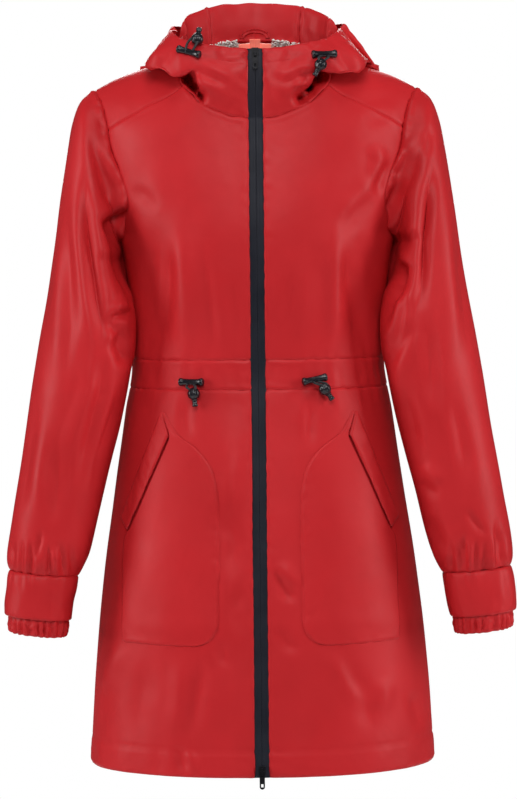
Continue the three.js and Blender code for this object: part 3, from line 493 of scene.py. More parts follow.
SLEEVE_RIGHT_CREASES = [
    (-9, (6, 8), [(-210, -120), (-209, -152), (-208, -207), (-199, -271), (-189, -336), (-183, -375)]),
    (4.5, 8, [(-217, -125), (-218, -221), (-211, -275), (-203, -336), (-200, -392)]),
    (-3.2, 7, [(-228, -170), (-230, -250), (-228, -330), (-236, -410)]),
    (2.4, 7, [(-238, -180), (-243, -280), (-250, -400)]),
    (6.5, (11, 6), [(-206, -140), (-203, -160), (-195, -214), (-186, -261), (-176, -300), (-172, -312)]),
    (-15, (5, 4), [(-194, -192), (-180, -219), (-169, -243), (-158, -271)]),
    (-20, (9, 6), [(-182, -216), (-168, -248), (-156, -280), (-150, -312), (-149, -345)]),
    (7, (12, 3.5), [(-198, -202), (-190, -196), (-174, -186), (-157, -176), (-150, -172)]),
    (-8, 5, [(-192, -203), (-176, -197), (-160, -190), (-150, -187)]),
    (8, 5.5, [(-174, -204), (-167, -214), (-162, -228), (-158, -240)]),
    (-17, 5.5, [(-162, -216), (-156, -234), (-151, -252)]),
    (4.5, (11, 4), [(-181, -303), (-172, -307), (-158, -304), (-152, -300)]),
    (-5, 5, [(-180, -312), (-172, -315), (-156, -313)]),
    (-7, 7, [(-188, -314), (-170, -334), (-150, -354)]),
    (-10, 9, [(-178, -338), (-164, -358), (-154, -382)]),
    (4.5, 9, [(-204, -336), (-204, -402), (-225, -458), (-238, -520)]),
    (-5.5, 7, [(-189, -350), (-193, -409), (-208, -471), (-221, -532)]),
    (3.4, 7, [(-176, -385), (-186, -435), (-203, -495), (-212, -540)]),
    (-4.5, 6, [(-166, -395), (-177, -427), (-198, -485), (-206, -540)]),
    (-3.5, 6, [(-207, -84), (-196, -118), (-184, -150), (-172, -176)]),
    (3.0, 6, [(-196, -96), (-182, -128), (-170, -158)]),
    (-3.0, 5, [(-193, -62), (-187, -86), (-182, -112)]),
    (-3.4, 8, [(-240, -460), (-246, -520), (-250, -574)]),
    (2.6, 8, [(-256, -430), (-266, -500), (-273, -566)]),
    (-2.6, 6, [(-268, -400), (-280, -480), (-292, -570)]),
    (-5.5, 3.2, [(-275, -584), (-279, -606), (-282, -640)]),
    (-5.0, 3.4, [(-263, -568), (-269, -592), (-275, -612), (-278, -640)]),
    (3.4, 3.6, [(-270, -580), (-274, -604), (-276, -640)]),
    (-4.0, 3.2, [(-289, -586), (-291, -612), (-292, -640)]),
    (-3.4, 3.2, [(-301, -586), (-303, -610), (-304, -640)]),
    (-4.0, 3.2, [(-256, -590), (-257, -612), (-258, -640)]),
    (-4.4, 3.6, [(-245, -586), (-241, -612), (-240, -642)]),
    (3.0, 3.6, [(-250, -590), (-249, -612), (-249, -640)]),
    (-3.6, 3.4, [(-232, -590), (-230, -616), (-230, -644)]),
]
SLEEVE_LEFT_CREASES = [
    (-10, (6, 5), [
        (218, -118), (215, -152), (209, -186), (204, -221), (202, -262), (198, -296), (196, -318),
    ]),
    (5.5, (5, 8), [(202, -130), (199, -152), (193, -213), (191, -246), (189, -292)]),
    (4.0, 9, [(228, -137), (230, -214), (236, -301), (244, -380)]),
    (-3.2, 7, [(244, -190), (250, -270), (258, -360)]),
    (-4.5, 8, [(200, -309), (207, -349), (212, -441)]),
    (-3.5, 6, [(214, -84), (206, -126)]),
    (6.5, (12, 5), [(196, -136), (188, -152), (180, -176), (168, -202), (155, -226), (148, -236)]),
    (-8, 6, [(182, -148), (170, -172), (158, -194), (148, -210)]),
    (-4, 5, [(190, -112), (176, -140), (164, -160)]),
    (3.0, 6, [(199, -90), (186, -118), (170, -146)]),
    (7.5, (12, 3.5), [(148, -222), (161, -240), (174, -249), (190, -256), (198, -258)]),
    (-9, 7, [(160, -252), (172, -262), (176, -280), (166, -306)]),
    (6, (9, 4.5), [(198, -244), (188, -258), (184, -268), (178, -288), (166, -324), (158, -360)]),
    (-6.0, 8, [(162, -270), (168, -292), (160, -322), (152, -346)]),
    (3.6, 5, [(194, -262), (189, -282), (178, -336), (166, -376)]),
    (-4.0, 5, [(184, -292), (174, -330), (164, -364)]),
    (-4.5, 6, [(158, -388), (172, -360), (188, -322)]),
    (3.8, 8, [(190, -335), (176, -368), (170, -400), (180, -450)]),
    (-4.0, 7, [(174, -400), (186, -442), (196, -496)]),
    (-3.0, 6, [(193, -520), (205, -530), (222, -540)]),
    (2.6, 7, [(198, -500), (212, -512), (228, -520)]),
    (-3.6, 4.5, [(250, -552), (262, -572), (276, -590)]),
    (-3.6, 8, [(206, -560), (217, -588), (230, -616)]),
    (-2.6, 8, [(232, -410), (244, -470), (256, -530)]),
    (2.6, 9, [(222, -400), (232, -470), (240, -540)]),
    (-5.5, 3.2, [(248, -582), (250, -604), (252, -640)]),
    (-4.6, 3.2, [(242, -592), (244, -612), (246, -640)]),
    (3.2, 3.4, [(256, -584), (256, -606), (256, -640)]),
    (-4.0, 3.4, [(261, -590), (261, -612), (260, -640)]),
    (-4.0, 3.4, [(233, -592), (234, -612), (235, -642)]),
    (-3.6, 3.4, [(273, -590), (273, -612), (273, -640)]),
    (-5.0, 3.4, [(289, -566), (290, -592), (290, -636)]),
    (-4.4, 3.2, [(295, -580), (296, -600), (296, -636)]),
    (3.0, 3.4, [(283, -582), (283, -606), (283, -636)]),
]
BACK_CREASES = [
    (6.0, 13, [(-94, -205), (-86, -270), (-82, -375)]),
    (-6.0, 13, [(-122, -210), (-116, -280), (-113, -375)]),
    (6.0, 13, [(98, -200), (88, -280), (84, -375)]),
    (-6.0, 13, [(124, -214), (118, -290), (114, -375)]),
    (-3.6, 8, [(-60, -220), (-52, -300), (-48, -368)]),
    (-3.3, 7, [(34, -235), (40, -300), (38, -366)]),
    (3.0, 8, [(-8, -200), (-4, -300), (-6, -366)]),
    (-4.5, 8, [(150, -150), (118, -190), (84, -215)]),
    (-4.5, 8, [(-152, -140), (-122, -186), (-95, -226)]),
    (3.9, 8, [(150, -180), (120, -225), (92, -250)]),
    (-2.7, 10, [(-70, -70), (-20, -82), (40, -78)]),
    (-3.0, 8, [(-30, -412), (-44, -480), (-52, -560)]),
    (3.6, 10, [(30, -415), (48, -520), (58, -620)]),
    (-3.6, 10, [(80, -430), (104, -560), (118, -700)]),
    (-4.5, 12, [(-90, -470), (-112, -600), (-126, -760)]),
    (4.2, 12, [(-40, -600), (-52, -740), (-60, -860)]),
    (-4.2, 12, [(30, -640), (42, -760), (46, -868)]),
    (3.3, 11, [(140, -620), (152, -740), (160, -860)]),
    (-3.3, 10, [(-176, -640), (-188, -750), (-196, -860)]),
]
SLEEVE_BACK_CREASES = [
    (-8.2, 8, [(205, -140), (198, -220), (190, -305)]),
    (6.0, 8, [(224, -150), (222, -230), (220, -310)]),
    (-6.8, 6, [(160, -322), (190, -342), (226, -348)]),
    (-6.8, 6, [(162, -368), (196, -384), (236, -380)]),
    (6.0, 7, [(158, -346), (190, -364), (232, -364)]),
    (-5.2, 6, [(168, -406), (202, -420), (238, -414)]),
    (-4.5, 8, [(240, -420), (244, -480), (252, -560)]),
    (4.5, 8, [(215, -440), (222, -520), (232, -590)]),
    (-4.5, 4, [(250, -586), (252, -606), (254, -624)]),
    (-4.5, 4, [(275, -584), (278, -604), (280, -620)]),
    (3.9, 4, [(262, -584), (265, -604), (267, -622)]),
]
CHEST_DEPTH = 1.5
SKIRT_DEPTH = 1.9
BACK_DEPTH = 1.4
# how far each sleeve's inner side stands back from the body in front, its lowest and highest place
SLEEVE_GAP = [(4, -296, -236), (6.5, -298, -214)]


# the heights between which a sleeve lies against the body, the ends of the sleeve and its elastic
ARM_LIES_LOW, ARM_LIES_HIGH = -388, -212
SLEEVE_END_Z = -628
CUFF_TOP_Z = -636
ELASTIC_Z = -699
WRIST_X, WRIST_Y = 274, -64
# the slit beside each pocket's welt, on the wearer's left
SLIT_HIGH, SLIT_LOW = (109.5, -462), (160.5, -580)


def facing(n, side):
    """1 where the surface faces the front (side -1) or the back (side 1), fading at the sides."""
    return smooth(n[..., 1] * side / 0.5)


def beside_arm(z):
    """1 at the heights where a sleeve lies against the body."""
    return smooth((z - ARM_LIES_LOW) / 30) * smooth((ARM_LIES_HIGH - z) / 14)


def body_relief(p, n):
    """Creases of the torso and skirt, the pull of the waist cord and a flat strip beside the zip."""
    z = p[..., 2]
    front = facing(n, -1)
    down = np.clip((WAIST_LOW_Z - z) / (WAIST_LOW_Z - HEM_Z), 0, 1)
    height = (CHEST_DEPTH * strokes(p, CHEST_CREASES) + SKIRT_DEPTH * strokes(p, SKIRT_CREASES)) * front
    height += BACK_DEPTH * strokes(p, BACK_CREASES) * facing(n, 1)
    height += 0.5 * ripple(p, 120, 3, (1, 1, 2.4)) + 0.22 * ripple(p, 44, 5, (1, 1, 2))
    height += 1.6 * down ** 2 * ripple(p, 190, 11, (1, 1, 5))
    height += 3.4 * beside_arm(z) * smooth((np.abs(n[..., 0]) - 0.75) / 0.2)
    waist = bell(np.maximum(np.abs(z - WAIST_MIDDLE_Z) - 18, 0), 26)
    height += 0.55 * waist * ripple(p, 17, 7, (1, 1, 3.2))
    by_zip = front * (1 - smooth((np.abs(p[..., 0]) - 9) / 16))
    return height * (1 - 0.75 * by_zip)


def skirt_relief(p, n):
    """The skirt, with its hem turned up and the cloth sunk under each pocket's opening."""
    height = body_relief(p, n)
    for side in (1, -1):
        off = to_segment(p[..., 0] * side, p[..., 2], SLIT_HIGH, SLIT_LOW)[1]
        height -= facing(n, -1) * 4.5 * bell(off, 2.4)
    rise = p[..., 2] - HEM_Z
    height += 0.5 * (smooth((HEM_TURN - rise) / 4) - bell(rise - HEM_TURN, 1.6))
    return height + 0.5 * bell(rise - 20, 16) * ripple(p, 34, 41, (1, 1, 2.5))


def sleeve_relief(p, n, side):
    """The sleeve's folds, its gathered end, and its inner side against the body."""
    x, y, z = np.moveaxis(p, -1, 0)
    inward = -n[..., 0] * side
    front = SLEEVE_LEFT_CREASES if side > 0 else SLEEVE_RIGHT_CREASES
    back = strokes(p if side > 0 else mirror(p), SLEEVE_BACK_CREASES)
    height = strokes(p, front) * facing(n, -1) + back * facing(n, 1)
    height += 0.9 * bell(z - SLEEVE_END_Z, 34) * ripple(p, 26, 21 + side, (1, 1, 2.6))
    below_gap = 0.6 * smooth((-262 - z) / 60)
    against = smooth((inward - 0.8) / 0.15) * np.maximum(smooth((y + 12) / 24), below_gap)
    height += 4.0 * beside_arm(z) * against
    depth, low, high = SLEEVE_GAP[side > 0]
    gap = smooth((z - low) / 34) * smooth((high - z) / 14)
    height -= depth * gap * smooth((inward - 0.1) / 0.4) * smooth((14 - y) / 30)
    return height + 0.6 * ripple(p, 90, 31, (1, 1, 2.2)) + 0.25 * ripple(p, 34, 33, (1, 1, 1.8))


def cuff_relief(p, n, side):
    height = 0.7 * ripple(p, 48, 51 + side, (2.6, 2.6, 1)) + 0.3 * ripple(p, 20, 53, (1, 1, 2))
    return height + 0.7 * bell(p[..., 2] - CUFF_TOP_Z, 12) * ripple(p, 15, 55, (1, 1, 3))


def gather_relief(p, n, side):
    """Uneven pleats drawn up by the elastic, deepest in the middle of its height."""
    angle = np.arctan2(p[..., 1] - WRIST_Y, p[..., 0] * side - WRIST_X)
    wave = np.cos(22 * angle + 1.1 * np.sin(3 * angle + side) + 0.8 * np.sin(7 * angle))
    return 1.9 * wave * bell(p[..., 2] - ELASTIC_Z, 10) + 0.5 * ripple(p, 8, 61)


def add_node(tree, kind, **sockets):
    """A node whose inputs are linked from outputs of other nodes, or else set to plain values."""
    node = tree.nodes.new(kind)
    for name, value in sockets.items():
        if isinstance(value, bpy.types.NodeSocket):
            tree.links.new(value, node.inputs[name])
        else:
            node.inputs[name].default_value = value
    return node


def look(name, low, high, colour_scale, roughness, grain_scale, grain, *, specular=0.5, sheen=0.0,
         broad=None, stretch=(1, 1, 1), painted_glow=0.0):
    """A procedural finish: two close colours, uneven roughness, a fine surface grain and, if asked, a painted
    glow of its own colour.
    """
    material = bpy.data.materials.new(name)
    material.use_nodes = True
    tree = material.node_tree
    tree.nodes.clear()
    shader = tree.nodes.new("ShaderNodeBsdfPrincipled")
    add_node(tree, "ShaderNodeOutputMaterial", Surface=shader.outputs["BSDF"])

    def noise(scale, detail, stretch=(1, 1, 1)):
        place = add_node(tree, "ShaderNodeTexCoord").outputs["Object"]
        place = add_node(tree, "ShaderNodeMapping", Vector=place, Scale=stretch).outputs["Vector"]
        node = add_node(tree, "ShaderNodeTexNoise", Vector=place, Scale=scale, Detail=detail)
        return node.outputs["Fac"]

    def ramp(source, start, end, first, last):
        node = add_node(tree, "ShaderNodeValToRGB", Fac=source)
        for stop, place, colour in zip(node.color_ramp.elements, (start, end), (first, last)):
            stop.position = place
            stop.color = (*colour, 1)
        return node.outputs["Color"]

    def bump(source, strength, distance, **before):
        sockets = {"Height": source, "Strength": strength, "Distance": distance, **before}
        return add_node(tree, "ShaderNodeBump", **sockets).outputs["Normal"]

    colour = ramp(noise(colour_scale, 3), 0.35, 0.65, low, high)
    tree.links.new(colour, shader.inputs["Base Color"])
    # painted glow: the colour is given off as light, so the surface stays bright where it lies in shade
    if painted_glow > 0:
        tree.links.new(colour, shader.inputs["Emission Color"])
        shader.inputs["Emission Strength"].default_value = painted_glow
    smoother, rougher = [roughness - 0.04] * 3, [roughness + 0.04] * 3
    uneven = ramp(noise(colour_scale * 2.3, 2), 0.3, 0.7, smoother, rougher)
    tree.links.new(uneven, shader.inputs["Roughness"])
    before = {}
    if broad is not None:
        scale, strength, distance = broad
        before["Normal"] = bump(noise(scale, 1), strength, distance)
    relief = bump(noise(grain_scale, 3, stretch), grain, 0.0004, **before)
    tree.links.new(relief, shader.inputs["Normal"])
    shader.inputs["Specular IOR Level"].default_value = specular
    shader.inputs["Sheen Weight"].default_value = sheen
    return material


RED = look("red_cloth", (0.52, 0.016, 0.020), (0.58, 0.019, 0.024), 9, 0.46, 1500, 0.12,
           specular=0.18, broad=(60, 0.16, 0.002))
RED_THREAD = look("red_thread", (0.30, 0.010, 0.013), (0.38, 0.014, 0.018), 60, 0.6, 3000, 0.2)
ZIP = look("zip_tape", (0.009, 0.010, 0.017), (0.014, 0.015, 0.023), 30, 0.5, 1800, 0.25, specular=0.2,
           stretch=(1, 1, 0.3))
ZIP_COIL = look("zip_coil", (0.035, 0.038, 0.050), (0.050, 0.053, 0.068), 60, 0.45, 2600, 0.2, specular=0.4)
BLACK = look("black_plastic", (0.006, 0.006, 0.009), (0.010, 0.010, 0.014), 40, 0.25, 1500, 0.05,
             specular=0.55)
DARK_METAL = look("dark_metal", (0.004, 0.004, 0.006), (0.008, 0.008, 0.011), 60, 0.5, 1500, 0.08,
                  specular=0.16)
CORD = look("black_cord", (0.010, 0.010, 0.013), (0.020, 0.020, 0.024), 300, 0.6, 2600, 0.6)
# the tape gives off a little of its own colour: a painted glow that keeps it bright where it lies in shade
CORAL_PAINTED_GLOW = look("coral_tape", (1.0, 0.20, 0.14), (1.0, 0.25, 0.18), 60, 0.7, 2600, 0.5, stretch=(1, 1, 0.2),
             painted_glow=0.45)
FLEECE = look("fleece_pile", (0.90, 0.84, 0.77), (0.99, 0.96, 0.92), 220, 0.95, 900, 0.6, sheen=1.0)


def spaced(count, length, fine=(0.7, 1.6, 2.8, 4.6, 7.0)):
    """Shares from 0 to 1, even in the middle and close together at both ends of that length."""
    ends = np.array([0.0, *fine]) / length
    inner = np.linspace(ends[-1], 1 - ends[-1], count + 1)[1:-1]
    return np.concatenate([ends, inner, 1 - ends[::-1]])


def grid_normals(grid, closed, sign):
    if closed:
        across = np.roll(grid, -1, 1) - np.roll(grid, 1, 1)
    else:
        across = np.gradient(grid, axis=1)
    return unit(np.cross(across, np.gradient(grid, axis=0))) * sign


def running_length(points, axis=0):
    """How far each point lies from the first one along the axis."""
    steps = np.linalg.norm(np.diff(points, axis=axis), axis=-1)
    return np.insert(np.cumsum(steps, axis), 0, 0, axis)


def border_distances(grid, closed):
    """How far each point of a grid lies from its top, bottom, left and right borders."""
    down = running_length(grid)
    result = {"top": down, "bottom": down[-1:] - down}
    if not closed:
        across = running_length(grid, 1)
        result.update({"left": across, "right": across[:, -1:] - across})
    return result


def edge_relief(p, distances, seams, seed):
    """Cloth dipping into its seams, nipped by each row of stitches and puckered beside them."""
    height = np.zeros(p.shape[:-1])
    for border, rows in seams.items():
        d = distances[border]
        height -= 1.3 * bell(d, 1.6)
        for offset in rows:
            height -= 0.28 * bell(d - offset, 0.9)
        if rows:
            reach = max(rows)
            height += 0.3 * bell(d - reach / 2 - 0.4, reach / 2 + 0.6)
            height += 0.34 * bell(d, reach + 7) * ripple(p, 13, seed)
    return height


def quads(rows, columns, closed, flip=False):
    """Four-sided faces between the points of a grid."""
    index = np.arange(rows * columns).reshape(rows, columns)
    right = np.roll(index, -1, 1) if closed else index[:, 1:]
    left = index if closed else index[:, :-1]
    faces = np.stack([left[:-1], right[:-1], right[1:], left[1:]], -1).reshape(-1, 4)
    return faces[:, ::-1] if flip else faces


def link(obj):
    bpy.context.scene.collection.objects.link(obj)
    return obj


def add_mesh(name, vertices, faces, material, smooth_faces=True):
    mesh = bpy.data.meshes.new(name)
    mesh.from_pydata((np.asarray(vertices) * MM).tolist(), [], [list(map(int, f)) for f in faces])
    mesh.polygons.foreach_set("use_smooth", [smooth_faces] * len(mesh.polygons))
    mesh.update()
    mesh.materials.append(material)
    return link(bpy.data.objects.new(name, mesh))


def fasten(obj, slot, *nodes, body="coat"):
    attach(obj, body)
    if nodes:
        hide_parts(*nodes)


# A small body of six corners: four round its middle, then its top and its foot.
OCTAHEDRON = [(0, 1, 4), (1, 2, 4), (2, 3, 4), (3, 0, 4), (1, 0, 5), (2, 1, 5), (3, 2, 5), (0, 3, 5)]


def many(bodies, faces):
    """The vertices and faces of many bodies with the same faces."""
    first = np.arange(len(bodies))[:, None, None] * bodies.shape[1]
    return bodies.reshape(-1, 3), (first + np.asarray(faces)).reshape(-1, 3)


STITCH_PITCH = 3.4
STITCH_LENGTH = 2.5
STITCH_WIDTH = 0.5
STITCH_TOP = 0.42
STITCH_FOOT = 0.3
stitches = []


def read_along(at, lengths, rows):
    return np.stack([np.interp(at, lengths, column) for column in np.transpose(rows)], -1)


def sew(path, normals):
    """Lays short stitches along a path of points on the cloth."""
    lengths = running_length(path)
    count = int(lengths[-1] / STITCH_PITCH)
    if count < 1:
        return
    at = (np.arange(count) + 0.5) * lengths[-1] / count
    out = unit(read_along(at, lengths, normals))
    along = unit(read_along(at + 0.5, lengths, path) - read_along(at - 0.5, lengths, path))
    end = along * STITCH_LENGTH / 2
    side = unit(np.cross(along, out)) * STITCH_WIDTH / 2
    place = read_along(at, lengths, path) + out * 0.05
    stitches.append(np.stack([
        place - end, place + side, place + end, place - side,
        place + out * STITCH_TOP, place - out * STITCH_FOOT,
    ], 1))


def line_at(grid, normals, distances, border, offset, closed):
    """The line on a grid that runs at this distance from one of its borders."""
    both = np.concatenate([grid, normals], -1)
    d = distances[border]
    if border in ("top", "bottom"):
        both, d = both.swapaxes(0, 1), d.T
    if border in ("bottom", "right"):
        both, d = both[:, ::-1], d[:, ::-1]
    line = [read_along(offset, dist, rows) for dist, rows in zip(d, both)]
    if closed:
        line.append(line[0])
    line = np.array(line)
    return line[:, :3], line[:, 3:]


NARROWEST = 0.01
# the least share of its rectangle that a piece may fill
LEAST_FILL = 0.45


def state_sheet(base, length, closed):
    """Works out the flat size and area of the cloth that shows, measured on the shape without relief; nothing
    keeps the results.
    """
    across = np.linalg.norm(np.diff(base, axis=1), axis=-1).sum(1)
    down = base[1:, :-1] - base[:-1, :-1]
    aside = base[:-1, 1:] - base[:-1, :-1]
    area = np.linalg.norm(np.cross(down, aside), axis=-1).sum() * MM * MM
    if closed:
        across = across + np.linalg.norm(base[:, 0] - base[:, -1], axis=-1)
        area *= base.shape[1] / (base.shape[1] - 1)
    length = round(length * MM, 3)
    width = round(max(min(across.max() * MM, area / length / LEAST_FILL), NARROWEST), 3)
    area = min(area, width * length)


def cloth(name, base, sign, material=RED, *, closed=False, relief=None, seams=None, slot="shell_cloth",
          held="draped", thickness=CLOTH, roll=0.0):
    """One cut piece of cloth: a thin shell on the grid of points, with its relief and stitching.

    The seams give, for each sewn border, how far from it the rows of stitches run.
    """
    seams = seams or {}
    normals = grid_normals(base, closed, sign)
    distances = border_distances(base, closed)
    height = edge_relief(base, distances, seams, len(name))
    if relief is not None:
        height += relief(base, normals)
    if roll:
        height += roll * bell(distances["top"] - 4.5, 3) * (1 + 0.7 * ripple(base, 13, 57))
    grid = base + normals * height[..., None]
    out = grid_normals(grid, closed, sign)
    for border, rows in seams.items():
        for offset in rows:
            sew(*line_at(grid, out, distances, border, offset, closed))
    obj = add_mesh(name, grid.reshape(-1, 3), quads(*grid.shape[:2], closed, flip=sign > 0), material)
    shell = obj.modifiers.new("shell", "SOLIDIFY")
    shell.thickness = thickness * MM
    shell.offset = -1
    shell.use_even_offset = False
    fasten(obj, slot, name.replace("cloth_", ""))
    state_sheet(base, distances["top"][-1].max(), closed)


def mirror(grid):
    return grid * np.array([-1.0, 1.0, 1.0])


def both_sides(grid):
    return np.concatenate([mirror(grid[:, :0:-1]), grid], 1)


def pair(name, grid, sign, relief=None, sided=False, **options):
    """The same piece on both sides. Its grid may be a function of the side, and so may its relief."""
    for side, label in ((1, "left"), (-1, "right")):
        if callable(grid):
            points = grid(side)
        else:
            points = grid if side > 0 else mirror(grid)
        own = (lambda p, n, s=side: relief(p, n, s)) if sided else relief
        cloth(f"cloth_{name}_{label}", points, sign * side, relief=own, **options)


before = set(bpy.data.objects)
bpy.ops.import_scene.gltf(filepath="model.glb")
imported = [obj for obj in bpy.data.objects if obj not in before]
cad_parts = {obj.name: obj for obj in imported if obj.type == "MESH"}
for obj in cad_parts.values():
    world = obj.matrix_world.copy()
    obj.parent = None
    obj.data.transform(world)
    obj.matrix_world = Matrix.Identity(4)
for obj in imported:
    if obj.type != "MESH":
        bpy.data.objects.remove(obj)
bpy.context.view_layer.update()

ROUGH = 1.0


def count_of(length, step):
    return max(4, int(length / (step * ROUGH)))


def shares(length, step):
    return spaced(count_of(length, step), length)


# About how wide and how long each piece is, and the steps of its mesh across and down.
MESHES = {
    "front": (165, 300, 3.6, 3.6),
    "back": (170, 380, 5, 5),
    "yoke": (100, 80, 3.4, 3.4),
    "casing": (165, 36, 3.4, 3.4),
    "skirt_front": (230, 467, 4.0, 4.2),
    "skirt_back": (230, 467, 5.5, 6.5),
    "pocket": (105, 281, 3.4, 3.2),
}
HOOD_WIDTH, HOOD_HEIGHT, HOOD_STEP = 260, 170, 2.8
SLEEVE_STEP, CUFF_STEP, GATHER_STEP = 2.9, 3.6, 2.4
SLEEVE_COLUMNS = int(196 / ROUGH)
GATHER_COLUMNS = 288


def mesh_shares(piece):
    width, length, across, down = MESHES[piece]
    return shares(width, across), shares(length, down)


def body_panels(piece, top, bottom, inner):
    """Half a ring of the body between two heights, from an inner angle to the side seam."""
    u, v = mesh_shares(piece)
    return on_angles(np.stack([level(z, inner)(u) for z in lerp(top, bottom, v)]))


# Rows of stitches, by how far they run from the border.
SEAM = (1.8,)
DOUBLE_SEAM = (1.8, 7.0)
CORD_SEAM = (1.6,)
ZIP_SEAM = (3.0,)
HEM_TURN = 31.0
HOOD_CHANNEL = 19.0


def build_body():
    """The panels of the bodice, waist casing and skirt."""
    front_top = top_border(0, YOKE_START, YOKE_FRONT)
    borders = front_top, level(WAIST_TOP_Z, zip_angle), front_left, outer_border(YOKE_FRONT_STEP, -1)
    front = coons(*borders, *mesh_shares("front"))
    pair("front_upper", on_angles(front), -1, relief=body_relief,
         seams={"top": DOUBLE_SEAM, "bottom": SEAM, "left": ZIP_SEAM, "right": ()})
    back_top = top_border(1, YOKE_END, YOKE_BACK)
    borders = back_top, level(WAIST_TOP_Z, middle_back), back_left, outer_border(YOKE_BACK_STEP, 1)
    back = coons(*borders, *mesh_shares("back"))
    cloth("cloth_back_upper", both_sides(on_angles(back)), 1, relief=body_relief,
          seams={"top": SEAM, "bottom": SEAM, "left": (), "right": ()})
    front_seam, back_seam = (lambda t, ends=ends: yoke_seam(ends, t).T for ends in (YOKE_FRONT, YOKE_BACK))
    yoke = coons(front_seam, back_seam, yoke_left, yoke_right, *mesh_shares("yoke"))
    pair("yoke", on_angles(ridge_to_angles(yoke[..., 0], yoke[..., 1])), 1, relief=body_relief,
         seams={"top": (), "bottom": (), "left": (), "right": ()})

    front = body_panels("casing", WAIST_TOP_Z, WAIST_LOW_Z, zip_angle)
    pair("waist_casing_front", front, -1, relief=body_relief,
         seams={"top": CORD_SEAM, "bottom": CORD_SEAM, "left": ZIP_SEAM, "right": ()})
    back = body_panels("casing", WAIST_TOP_Z, WAIST_LOW_Z, middle_back)
    cloth("cloth_waist_casing_back", both_sides(back), 1, relief=body_relief,
          seams={"top": CORD_SEAM, "bottom": CORD_SEAM, "left": (), "right": ()})
    front = body_panels("skirt_front", WAIST_LOW_Z, HEM_Z, zip_angle)
    pair("skirt_front", front, -1, relief=skirt_relief,
         seams={"top": SEAM, "bottom": (HEM_TURN,), "left": ZIP_SEAM, "right": ()})
    back = body_panels("skirt_back", WAIST_LOW_Z, HEM_Z, middle_back)
    cloth("cloth_skirt_back", both_sides(back), 1, relief=skirt_relief,
          seams={"top": SEAM, "bottom": (HEM_TURN,), "left": (), "right": ()})


def sleeve_tube(rows, columns, step, first=()):
    """Fills in rings between the given sections, closer together at both ends."""
    turn = np.arange(columns) / columns
    rings = np.stack([ring(turn) for ring in first] + [section_ring(row, turn) for row in rows])
    at = np.concatenate([[0], np.cumsum(np.linalg.norm(np.diff(rings, axis=0), axis=-1).mean(1))])
    place = np.interp(shares(at[-1], step) * at[-1], at, np.linspace(0, 1, len(rings)))
    return through(rings, place)


def build_sleeves():
    sleeve = sleeve_tube(SLEEVE, SLEEVE_COLUMNS, SLEEVE_STEP, [arm_ring])
    pair("sleeve", sleeve, 1, sleeve_relief, True, closed=True, roll=1.5, seams={"top": (), "bottom": ()})
    pair("cuff", sleeve_tube(CUFF, SLEEVE_COLUMNS, CUFF_STEP), 1, cuff_relief, True, closed=True,
         seams={"top": CORD_SEAM, "bottom": (3.0,)})
    inner = sleeve_tube(INNER_CUFF, GATHER_COLUMNS, GATHER_STEP)
    pair("inner_cuff", inner, 1, gather_relief, True, closed=True, seams={"bottom": (4.0,)})


# Folds of the hood: height, half width round the neck and up the profile, and the line in both shares.
HOOD_FOLDS = [
    (-2.6, 0.03, 0.06, [(0.10, 0.40), (0.2, 0.5), (0.29, 0.56)]),
    (2.4, 0.03, 0.06, [(0.08, 0.54), (0.18, 0.62), (0.3, 0.70)]),
    (-2.4, 0.03, 0.06, [(0.06, 0.72), (0.16, 0.78), (0.27, 0.84)]),
    (-4.5, 0.03, 0.08, [(0.50, 0.62), (0.46, 0.76), (0.40, 0.90)]),
    (4.0, 0.03, 0.08, [(0.56, 0.60), (0.53, 0.76), (0.47, 0.92)]),
    (-3.5, 0.03, 0.08, [(0.66, 0.62), (0.64, 0.78), (0.60, 0.94)]),
]


# Where the folded hood is dented or pulled out, on each side: place, reach and move.
HOOD_PULLS = {
    1: [
        ((146, 18, -14), 27, (8, 0, -2)), ((74, -97, -40), 12, (-1, 24, 2)), ((82, -88, -27), 13, (2, 17, 3)),
        ((54, -108, -38), 13, (2, -6, 0)), ((66, -104, -16), 12, (0, -4, -3)),
    ],
    -1: [
        ((-124, 12, 26), 38, (14, 0, -3)), ((-117, -84, -22), 21, (0, 2, 8)),
        ((-98, -98, -25), 13, (0, 0, -4)), ((-83, -88, -29), 11, (3, 22, 2)),
        ((-76, -95, -42), 10, (3, 20, 2)), ((-61, -105, -36), 13, (-3, -6, 0)),
    ],
}
# Hollows beside the standing collar, on each side: place seen from the front, reach and depth.
HOOD_HOLLOWS = {
    1: [((73, -27), 10, 34), ((63, -40), 9, 40), ((54, -53), 7, 26)],
    -1: [((-82, -29), 9, 34), ((-77, -40), 9, 42), ((-68, -50), 7, 28)],
}
RESTS_ABOVE = 3.0


def hollow_depth(points, s, side):
    """How far the cloth sinks beside the collar, between the neck seam and the hood's overhang."""
    depth = np.zeros(s.shape)
    for (x, z), reach, deep in HOOD_HOLLOWS[side]:
        depth = np.maximum(depth, deep * bell(np.hypot(points[..., 0] - x, points[..., 2] - z), reach))
    front = smooth((-60 - points[..., 1]) / 15)
    return depth * front * smooth(s / 0.05) * (1 - smooth((s - 0.24) / 0.12))


def pulled_hood(points, side):
    """The hood with its dents and pulls, kept above the shoulders."""
    moved = points.copy()
    for place, reach, move in HOOD_PULLS[side]:
        far = np.linalg.norm(points - np.array(place), axis=-1)
        moved += bell(far, reach)[..., None] * np.array(move)
    clear = RESTS_ABOVE * smooth(np.linalg.norm(moved - points, axis=-1))
    return np.where(clear[..., None] > 0, clear_of_shoulders(moved, clear), moved)


